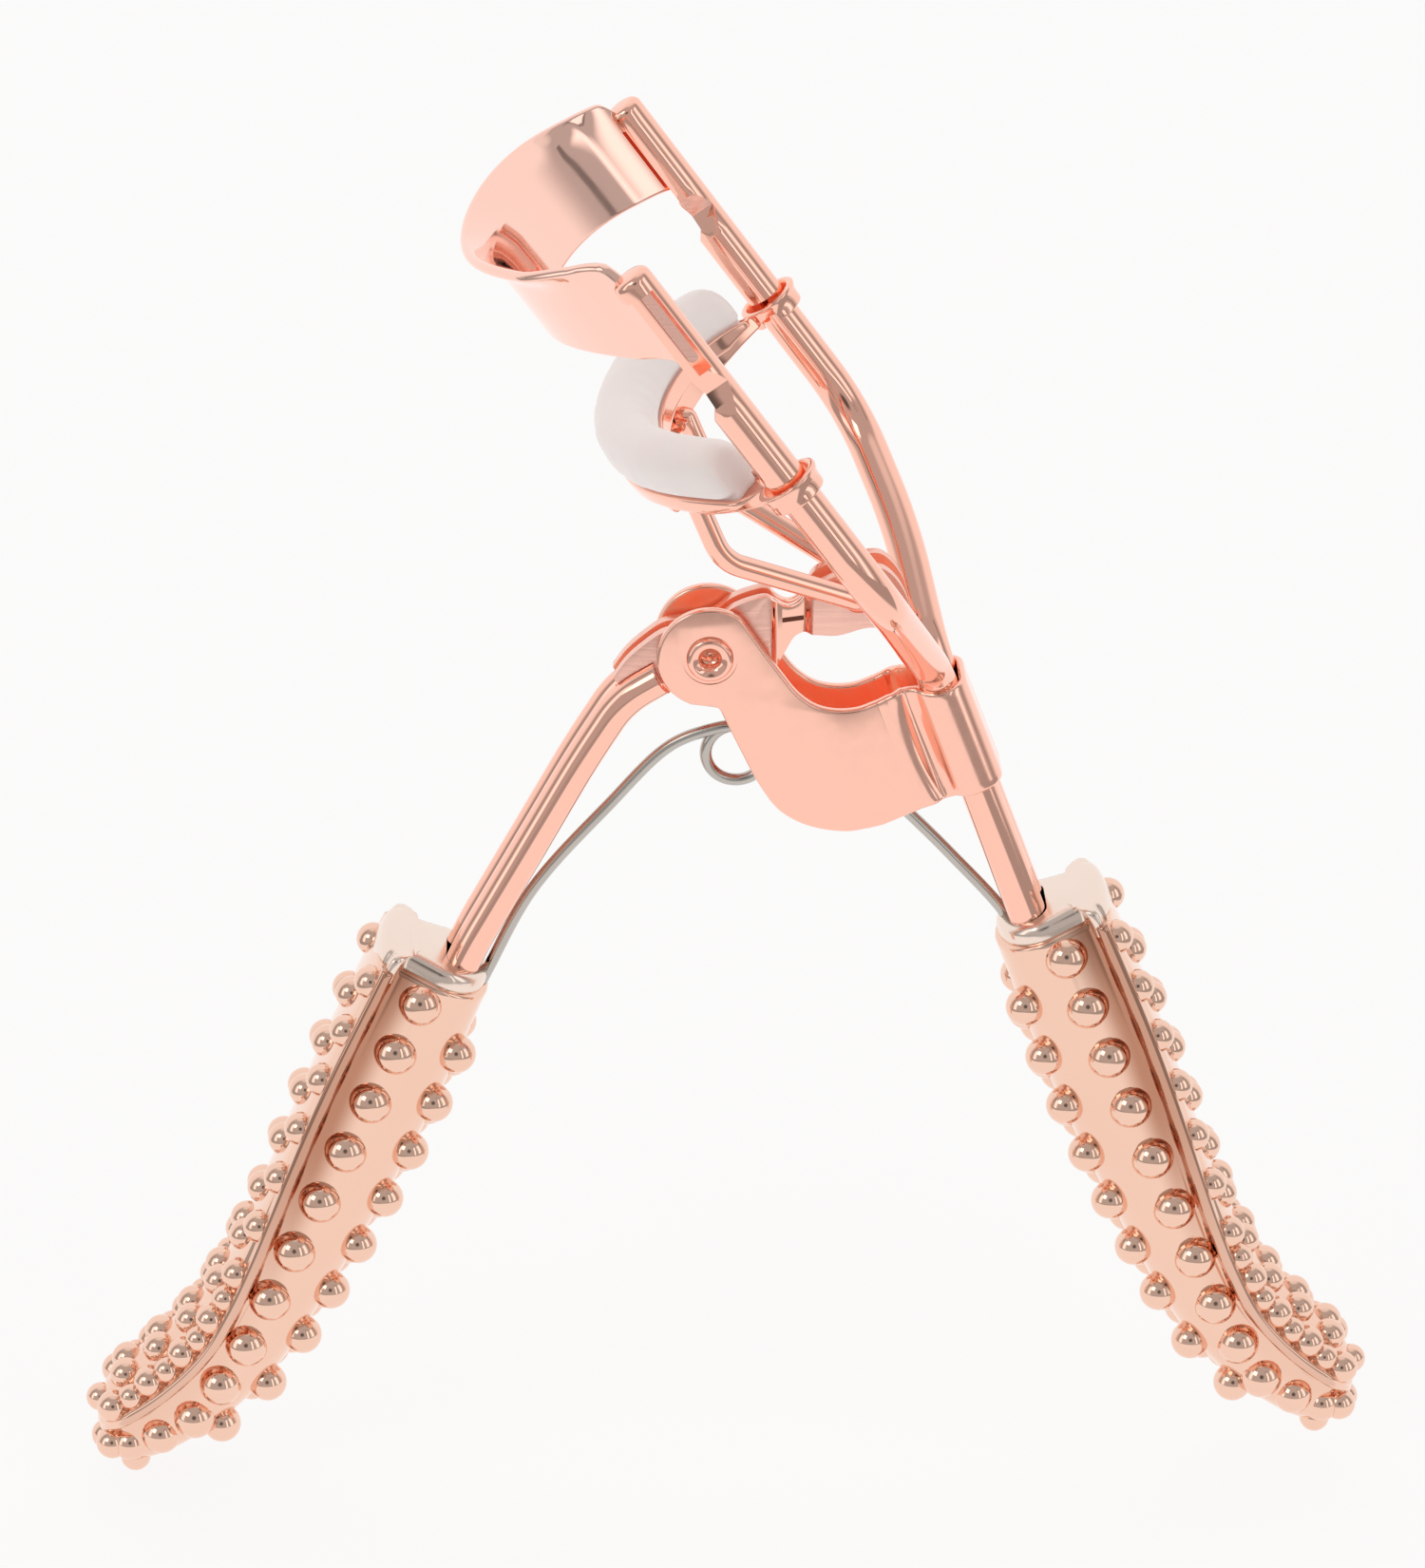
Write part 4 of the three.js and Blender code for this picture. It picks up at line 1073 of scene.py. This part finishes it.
# XZ points of the legs between the grips and the coil
LEVER_LEG = [(-13.3, -8.3), (-7.66, -1.5), (-3.0, 3.4), (0.3, 4.75)]
FRAME_LEG = [(6.2, 4.0), (10.9, 0.9), (14.68, -2.89), (17.5, -5.9)]


def return_spring():
    coil_top = (COIL[0], COIL[1] + COIL_R)
    left = [in_grip(LEVER_GRIP, a, LEVER_GRIP.spring_t) for a in (4.5, 1.0, -1.2)] + LEVER_LEG
    left = [in_3d(p, -COIL_Y * max(0, i - 2) / 4) for i, p in enumerate(left)]
    left = curve(left + [in_3d(coil_top, -COIL_Y)], 10)
    coil = []
    for i in range(1, COIL_STEPS):
        a = math.pi / 2 + 2 * math.pi * i / COIL_STEPS
        coil.append((COIL[0] + COIL_R * math.cos(a), -COIL_Y + 2 * COIL_Y * i / COIL_STEPS,
                     COIL[1] + COIL_R * math.sin(a)))
    right = [coil_top] + FRAME_LEG
    right += [in_grip(FRAME_GRIP, a, FRAME_GRIP.spring_t) for a in (-1.2, 1.0, 4.5)]
    right = curve([in_3d(p, COIL_Y * max(0, 1 - i / 5)) for i, p in enumerate(right)], 10)
    path = np.vstack([left[:-1], coil, right])
    ob = mesh("spring_return", tube(path, SPRING_R, 18, ends=0.1), 60)
    give(ob, STEEL, None, "return_spring")
    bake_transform(ob)


return_spring()

# ------------------------------------------------------------------ grip shape
# s runs down the grip's centre line from its open end, t outwards from it: a straight length,
# then an arc.
STRAIGHT, ARC_R, ARC = 33.0, 21.0, math.radians(42.0)
TIP = STRAIGHT + ARC_R * ARC + 0.7      # s of the free end
TIP_ROUND = 4.2                         # length over which the free end closes
COVER_FOOT, BODY_TOP = 0.5, 0.52        # parting line below the ridge, for each shell
SHOULDER = 0.94                         # cover height above which the crown is scaled


def profile(stations, values):
    """Smoothed function of s through a table."""
    s_grid = np.linspace(-2, 52, 109)
    out = np.interp(s_grid, stations, values)
    for _ in range(30):
        out[1:-1] = (out[:-2] + 2 * out[1:-1] + out[2:]) / 4
    return lambda s: float(np.interp(s, s_grid, out))


# each table: s, value
ridge_t = profile([0, 9, 15, 20, 25, 30, 35, 40, 45, 50],
                  [3.35, 3.35, 3.1, 2.75, 2.35, 2.1, 2.3, 2.55, 2.5, 2.3])
inner_t = profile([0, 8, 14, 20, 28, 33, 38, 42, 46, 50],
                  [-4.75, -5.15, -5.2, -5.0, -4.45, -3.95, -3.4, -3.1, -2.8, -2.4])
# scale of the crown above the bead, and of the width
crown = profile([0, 20, 28, 34, 40, 45, 50], [0.5, 0.58, 0.9, 1.45, 2.0, 1.8, 1.5])
width = profile([0, 20, 34, 40, 45, 50], [1.0, 1.0, 0.98, 0.93, 0.86, 0.8])

# half sections: cover (height above the parting line, half width),
# body (depth as a fraction, half width)
COVER = curve([(0.0, 4.42), (-0.03, 4.8), (0.14, 5.06), (0.45, 5.17), (0.78, 5.05), (0.95, 4.72),
               (0.94, 4.3), (1.3, 3.85), (1.6, 3.0), (1.8, 1.9), (1.92, 0.8), (1.94, 0)], 5)
BODY = curve([(0.0, 4.3), (0.02, 3.95), (0.06, 3.66), (0.12, 3.76), (0.24, 3.98), (0.36, 4.2),
              (0.46, 4.36), (0.56, 4.4), (0.66, 4.22), (0.78, 3.72), (0.90, 2.75), (0.98, 1.3),
              (1.0, 0)], 5)


def tip_scale(s):
    """Section scale that rounds the free end."""
    e = (TIP - s) / TIP_ROUND
    return math.sqrt(max(0.0, 1 - (1 - e) ** 2)) if e < 1 else 1.0


def squeeze(s, t):
    """Draws t towards the middle of the section near the free end."""
    mid = (ridge_t(s) + inner_t(s)) / 2
    return mid + (t - mid) * (0.35 + 0.65 * tip_scale(s))


def cover_t(s, height):
    flatten = 1 if s < 44 else 0.6 + 0.4 * tip_scale(s)
    return squeeze(s, ridge_t(s) - COVER_FOOT + height * flatten)


def body_t(s, depth):
    top = ridge_t(s) - BODY_TOP
    return squeeze(s, top + (inner_t(s) - top) * depth)


def crowned(s, height):
    return SHOULDER + (height - SHOULDER) * crown(s)


def place(grip, s, t, y):
    if s <= STRAIGHT:
        a, b, h = s, 0.0, 0.0
    else:
        h = (s - STRAIGHT) / ARC_R
        a, b = STRAIGHT + ARC_R * math.sin(h), ARC_R * (1 - math.cos(h))
    return in_3d(in_grip(grip, a - t * math.sin(h), b + t * math.cos(h)), y)


def cover_half(s):
    return [(cover_t(s, crowned(s, h) if h > SHOULDER and half < 4.35 else h), half)
            for h, half in COVER]


def body_half(s):
    return [(body_t(s, depth), half) for depth, half in BODY]


def grip_shell(grip, half_section):
    stations = list(np.linspace(0, 44, 89))
    stations += [TIP - TIP_ROUND * (1 - math.sin(f))
                 for f in np.linspace(0, math.pi / 2 * 0.985, 18)]
    rings = []
    for s in stations:
        scale = width(s) * tip_scale(s)
        half = [(t, y * scale) for t, y in half_section(s)]
        rings.append([place(grip, s, t, -y) for t, y in half] +
                     [place(grip, s, t, y) for t, y in half[-2::-1]])
    # small round over at the open end (inset, shift down the grip)
    first = []
    mouth = np.array(rings[0])
    centre = mouth.mean(axis=0)
    for inset, shift in ((0.22, 0.0), (0.08, 0.06), (0.0, 0.22)):
        move = in_3d(grip.along, 0) * shift
        first.append([p + unit(centre - p) * inset + move for p in mouth])
    return sweep(first + rings[1:])


# ------------------------------------------------------------------ grip studs
SIDE_STUDS = [1.85, 6.3, 10.8, 15.35, 20.05, 24.75, 29.35, 33.75, 37.75, 41.3, 44.3, 46.9]
# loose balls round the free end (s, t, y, radius)
END_STUDS = [(48.2, 0.3, -2.35, 1.25), (48.2, 0.3, 2.35, 1.25), (49.0, -0.1, 0.0, 1.2),
             (47.4, -1.9, -1.6, 1.15), (47.4, -1.9, 1.6, 1.15)]
# rows on the cover (|y|, offset in s, radius, first s, limit of s)
COVER_ROWS = [(3.65, 0.0, 1.27, 0, 50), (1.4, 2.25, 1.27, 25, 50), (0.0, 3.07, 1.27, 0, 27),
              (3.8, 2.25, 1.08, 29, 50)]


def stud(grip, s, t, y, lean, r, sink):
    """Ball sunk into a surface; lean is the outward direction (t, y)."""
    base = place(grip, s, t, y)
    tip = unit(place(grip, s, t + lean[0], y + lean[1]) - base)
    return ball(base - tip * sink, r, 26, 15, tip)


def body_side(s, depth):
    """Body surface at a depth fraction: (t, half width)."""
    half = float(np.interp(depth, BODY[:, 0], BODY[:, 1]))
    return body_t(s, depth), half * width(s) * tip_scale(s)


def crown_t(s, y):
    # the 40 points nearest the ridge, where the half width only grows
    height = float(np.interp(abs(y), COVER[::-1, 1][:40], COVER[::-1, 0][:40]))
    return cover_t(s, crowned(s, height))


def body_studs(grip):
    parts = []
    for s in SIDE_STUDS:
        t, half = body_side(s, 0.42 - 0.02 * max(0, s - 40))
        shrink = 0.05 * max(0, s - 42)
        t = (t if s > 38 else 0.03) - 0.15 - 0.65 * float(smooth((s - 36) / 6))
        for side in (-1, 1):
            parts.append(stud(grip, s, t, side * (half * (1 - 0.15 * shrink)), (0.0, side),
                              1.64 - shrink, 0.42))
    # two rows beside the inner line, and one along it between them
    for n in range(9):
        s = 4.5 + 4.45 * n
        t, half = body_side(s + 0.3, 0.89)
        for side in (-1, 1):
            parts.append(stud(grip, s + 0.6, t - 0.6, side * half, (-1.0, side * 0.7), 1.45, 0.3))
        if n < 8:
            t = body_t(s + 2.3, 1.0)
            parts.append(stud(grip, s + 2.3, t, 0, (-1.0, 0), 1.45, 0.3))
    for s, t, y, r in END_STUDS:
        parts.append(ball(place(grip, s, t, y), r, 24, 14, (0.2, 0.4, 0.9)))
    return join(parts)


def cover_studs(grip):
    parts = []
    for n in range(11):
        for y, offset, r, first, limit in COVER_ROWS:
            s = 1.9 + 4.44 * n + offset
            if s > 46.8 or not first <= s < limit:
                continue
            t, scale = crown_t(s, y), tip_scale(s) * width(s)
            for side in ((-1, 1) if y else (1,)):
                lean = (1.0, side * y * 0.18)
                parts.append(stud(grip, s, t, side * y * scale, lean, r, 0.2))
    parts.append(stud(grip, 48.0, crown_t(48.0, 0.0), 0.0, (1.0, 0.0), 1.1, 0.1))
    return join(parts)


# ------------------------------------------------------------------ grips
# painted dark reflection beside the grips' ridge: how much the colour is darkened, fading down the
# grip
def body_painted_reflection(s, drop, y):
    fade = 1.9 - 0.5 * float(smooth((s - 14.0) / 16.0))
    return (1.0 - float(smooth((drop - 0.9) / fade))) * painted_reflection_along(s)


def cover_painted_reflection(s, drop, y):
    if abs(y) <= 4.2:
        return 0.0
    k = 0.75 * (1.0 - float(smooth((-drop - 0.75) / 0.25)))
    return k * (0.35 + 0.65 * painted_reflection_along(s))


def painted_reflection_along(s):
    return 1.0 - 0.9 * float(smooth((s - 15.0) / 17.0))


def mark(ob, grip, painted_reflection):
    """Attribute of the painted dark reflection: 1 beside the ridge at the open end, 0 elsewhere."""
    values = []
    for v in ob.data.vertices:
        x, y, z = to_layout(v.co)
        offset = np.array([x, z]) - grip.start
        a, b = float(offset @ grip.along), float(offset @ grip.out)
        if a <= STRAIGHT:
            s, t = a, b
        else:
            s = STRAIGHT + ARC_R * math.atan2(a - STRAIGHT, ARC_R - b)
            t = ARC_R - math.hypot(a - STRAIGHT, ARC_R - b)
        drop = ridge_t(s) - BODY_TOP - t
        values.append(max(0.0, min(1.0, painted_reflection(s, drop, y))))
    attribute = ob.data.attributes.new("painted_reflection", "FLOAT", "POINT")
    attribute.data.foreach_set("value", values)


def moulding(name, grip, half_section, studs, painted_reflection):
    """Grip shell with its studs moulded on; only the plain shell carries the painted dark
    reflection.
    """
    ob = mesh(name, grip_shell(grip, half_section), 50)
    mark(ob, grip, painted_reflection)
    merge(ob, mesh("studs", studs(grip), 60))
    shade(ob, 50)
    return ob


# rings of the plug (distance down the grip, inset from the shells)
PLUG_RINGS = [(0.9, 0.5), (0.2, 0.42), (-0.4, 0.44), (-0.85, 0.52), (-1.12, 0.68), (-1.3, 0.95),
              (-1.38, 1.3), (-1.42, 1.9)]


def grip_plug(grip):
    """Cap in the open end, slotted for the wires."""
    half = [(cover_t(0, h), y) for h, y in COVER[::-1]] + body_half(0)[2:]
    loop = np.array(half + [(t, -y) for t, y in half[-2:0:-1]])
    centre = np.array([-0.6, 0.0])
    rings = []
    for a, inset in PLUG_RINGS:
        ring = []
        for p in loop:
            d = p - centre
            t, y = centre + d * (1 - inset / np.linalg.norm(d))
            ring.append(in_3d(in_grip(grip, a, t), y))
        rings.append(ring)
    ob = mesh(grip.name + "_grip_cap", sweep(rings), 50)
    slot = stadium([(grip.wire_t, grip.wire_half), (grip.wire_t, -grip.wire_half)],
                   grip.wire_r + 0.02, 0.0, 12)
    rings = [[in_3d(in_grip(grip, a, t), y) for t, y in slot] for a in (-6, 2.5)]
    boolean(ob, [mesh("wire_slot", sweep(rings))], 50)
    give(ob, PALE, grip.name, grip.name + "_grip_plug")


# outward normal of each grip points away from the other grip and a little up
for grip in (FRAME_GRIP, LEVER_GRIP):
    grip.out[0] = math.copysign(grip.out[0], grip.along[0])
    body = moulding(grip.name + "_grip_lower", grip, body_half, body_studs, body_painted_reflection)
    give(body, ROSE_GRIP, grip.name, grip.name + "_grip_body")
    cover = moulding(grip.name + "_grip_upper", grip, cover_half, cover_studs, cover_painted_reflection)
    grip_plug(grip)
    give(cover, ROSE_GRIP, grip.name, grip.name + "_grip_cover")


# ------------------------------------------------------------------ floor
def floor_material():
    m, tree = new_material("studio_floor")
    position = add(tree, "NewGeometry").outputs["Position"]
    xyz = add(tree, "SeparateXYZ", {0: position}).outputs
    # the lit table ends a little way in front of and beside the tool; behind it the white
    # sweep goes on
    front = calc(tree, "MAXIMUM", calc(tree, "MULTIPLY", xyz["Y"], -1.0), 0.0)
    behind = calc(tree, "MAXIMUM", calc(tree, "SUBTRACT", xyz["Y"], 0.02), 0.0)
    half_width = calc(tree, "ADD", 0.110, calc(tree, "MULTIPLY", behind, 3.0))
    ex = calc(tree, "DIVIDE", xyz["X"], half_width)
    ey = calc(tree, "DIVIDE", front, 0.21)
    squares = [calc(tree, "MULTIPLY", e, e) for e in (ex, ey)]
    distance = calc(tree, "SQRT", calc(tree, "ADD", *squares))
    edge = remap(tree, distance, source=(0.94, 1.22), target=(1.05, 0.36),
                 interpolation="SMOOTHSTEP")
    # plain white to the camera
    camera_ray = add(tree, "LightPath").outputs["Is Camera Ray"]
    strength = remap(tree, camera_ray, target=(edge, 1.0))
    glow = add(tree, "Emission", {"Color": (1.0, 0.995, 0.99, 1), "Strength": strength})
    matt = add(tree, "BsdfDiffuse", {"Color": (0.9, 0.9, 0.9, 1)})
    mix = add(tree, "MixShader", {0: 0.14, 1: glow.outputs[0], 2: matt.outputs[0]})
    add(tree, "OutputMaterial", {"Surface": mix.outputs[0]})
    return m


def studio_floor():
    material = floor_material()
    radius, shift, n = 0.55, 0.05, 64       # metres; the rim is shifted towards +Y
    v = [(0, 0, 0)]
    for k in range(n):
        a = 2 * math.pi * k / n
        v.append((radius * math.cos(a), radius * math.sin(a) + shift, 0))
    me = bpy.data.meshes.new("studio_floor")
    me.from_pydata(v, [], [(0, 1 + k, 1 + (k + 1) % n) for k in range(n)])
    ob = bpy.data.objects.new("studio_floor", me)
    ob.location = (0, 0, cad_lo.z - 0.0002)
    bpy.context.scene.collection.objects.link(ob)
    me.materials.append(material)


studio_floor()


# ------------------------------------------------------------------ camera
def aim(ob, location, target):
    ob.location = location
    ob.rotation_mode = "QUATERNION"
    ob.rotation_quaternion = (Vector(target) - Vector(location)).to_track_quat("-Z", "Y")
    bpy.context.scene.collection.objects.link(ob)


camera_data = bpy.data.cameras.new("camera")
camera_data.sensor_width = 36.0
camera_data.lens = 131.96
camera_data.clip_start, camera_data.clip_end = 0.01, 20
camera = bpy.data.objects.new("camera", camera_data)
# looks at the layout origin
aim(camera, location=(-0.01213, -0.380491, 0.23507), target=ORIGIN / 1000)
bpy.context.scene.camera = camera


# ------------------------------------------------------------------ world
def dot(tree, vector, direction):
    return add(tree, "VectorMath", {0: vector, 1: direction},
               operation="DOT_PRODUCT").outputs["Value"]


def lobe(tree, view, direction, inner, outer):
    """1 inside a cone round a direction, 0 outside, soft between (degrees)."""
    cosines = (math.cos(math.radians(outer)), math.cos(math.radians(inner)))
    return remap(tree, dot(tree, view, Vector(direction).normalized()), source=cosines,
                 interpolation="SMOOTHSTEP")


def box_lobe(tree, view, az, el, half_az, half_el, soft):
    """Rectangular softbox (degrees): azimuth 0 is the camera side, positive to the right."""
    az, el = math.radians(az), math.radians(el)
    d = Vector((math.sin(az) * math.cos(el), -math.cos(az) * math.cos(el), math.sin(el)))
    right = Vector((math.cos(az), math.sin(az), 0))
    up = right.cross(d).normalized() * -1
    sides = []
    for axis, half in ((right, half_az), (up, half_el)):
        sines = (math.sin(math.radians(half + soft)), math.sin(math.radians(half)))
        sides.append(remap(tree, calc(tree, "ABSOLUTE", dot(tree, view, axis)), source=sines,
                           interpolation="SMOOTHSTEP"))
    front = calc(tree, "GREATER_THAN", dot(tree, view, d), 0.05)
    return calc(tree, "MULTIPLY", calc(tree, "MULTIPLY", *sides), front)


def dim(tree, level, mask, amount):
    """Level reduced by amount where the mask is 1."""
    return calc(tree, "MULTIPLY", level,
                calc(tree, "SUBTRACT", 1.0, calc(tree, "MULTIPLY", mask, amount)))


# azimuth, elevation, half azimuth, half elevation, softness (degrees), strength
SOFTBOXES = [(-47, 38, 8, 8, 5, 2.2), (36, 18, 4, 22, 3, 1.3), (66, 12, 2, 22, 16, 1.35),
             (-66, 12, 3, 22, 15, 1.35)]
# narrow dark strips: azimuth, half azimuth (degrees)
DARK_STRIPS = [(-88, 1.2), (88, 1.2), (43.5, 0.5), (29, 0.5)]


def studio_world():
    """Soft white tent, darker towards the camera, with soft boxes left, right and above."""
    world = bpy.data.worlds.new("studio")
    bpy.context.scene.world = world
    world.use_nodes = True
    tree = world.node_tree
    tree.nodes.clear()
    view = add(tree, "TexCoord").outputs["Generated"]
    y = add(tree, "SeparateXYZ", {0: view}).outputs["Y"]
    level = remap(tree, y, source=(0.05, 0.36), target=(0.52, 1.0), interpolation="SMOOTHSTEP")
    top = lobe(tree, view, direction=(0, 0.25, 1), inner=12, outer=40)
    level = calc(tree, "MAXIMUM", level, calc(tree, "MULTIPLY", top, 0.9))
    for *box, strength in SOFTBOXES:
        lit = calc(tree, "MULTIPLY", box_lobe(tree, view, *box), strength)
        level = calc(tree, "MAXIMUM", level, lit)
    for az, half_az in DARK_STRIPS:
        strip = box_lobe(tree, view, az, el=12, half_az=half_az, half_el=40, soft=1.2)
        level = dim(tree, level, strip, amount=0.6)
    # dark patch round the camera
    patch = lobe(tree, view, direction=(-0.026, -0.906, 0.4226), inner=5, outer=15)
    level = dim(tree, level, patch, amount=0.78)
    camera_ray = add(tree, "LightPath").outputs["Is Camera Ray"]
    seen = add(tree, "Mix", {0: camera_ray, 2: level, 3: 1.0}, data_type="FLOAT")
    background = add(tree, "Background", {"Strength": seen.outputs[0],
                                          "Color": (1.0, 0.995, 0.99, 1)})
    add(tree, "OutputWorld", {"Surface": background.outputs[0]})


studio_world()


# ------------------------------------------------------------------ lights
def area_light(name, location, size, power):
    data = bpy.data.lights.new(name, "AREA")
    data.shape = "SQUARE"
    data.size = size
    data.energy = power
    ob = bpy.data.objects.new(name, data)
    ob.visible_glossy = False
    aim(ob, location, target=(0, 0, 0.05))


area_light("key", location=(-0.45, -0.55, 0.75), size=0.9, power=0.6)
area_light("fill", location=(0.55, -0.5, 0.6), size=0.9, power=0.7)

view_settings = bpy.context.scene.view_settings
view_settings.view_transform = "Standard"
view_settings.look = "None"
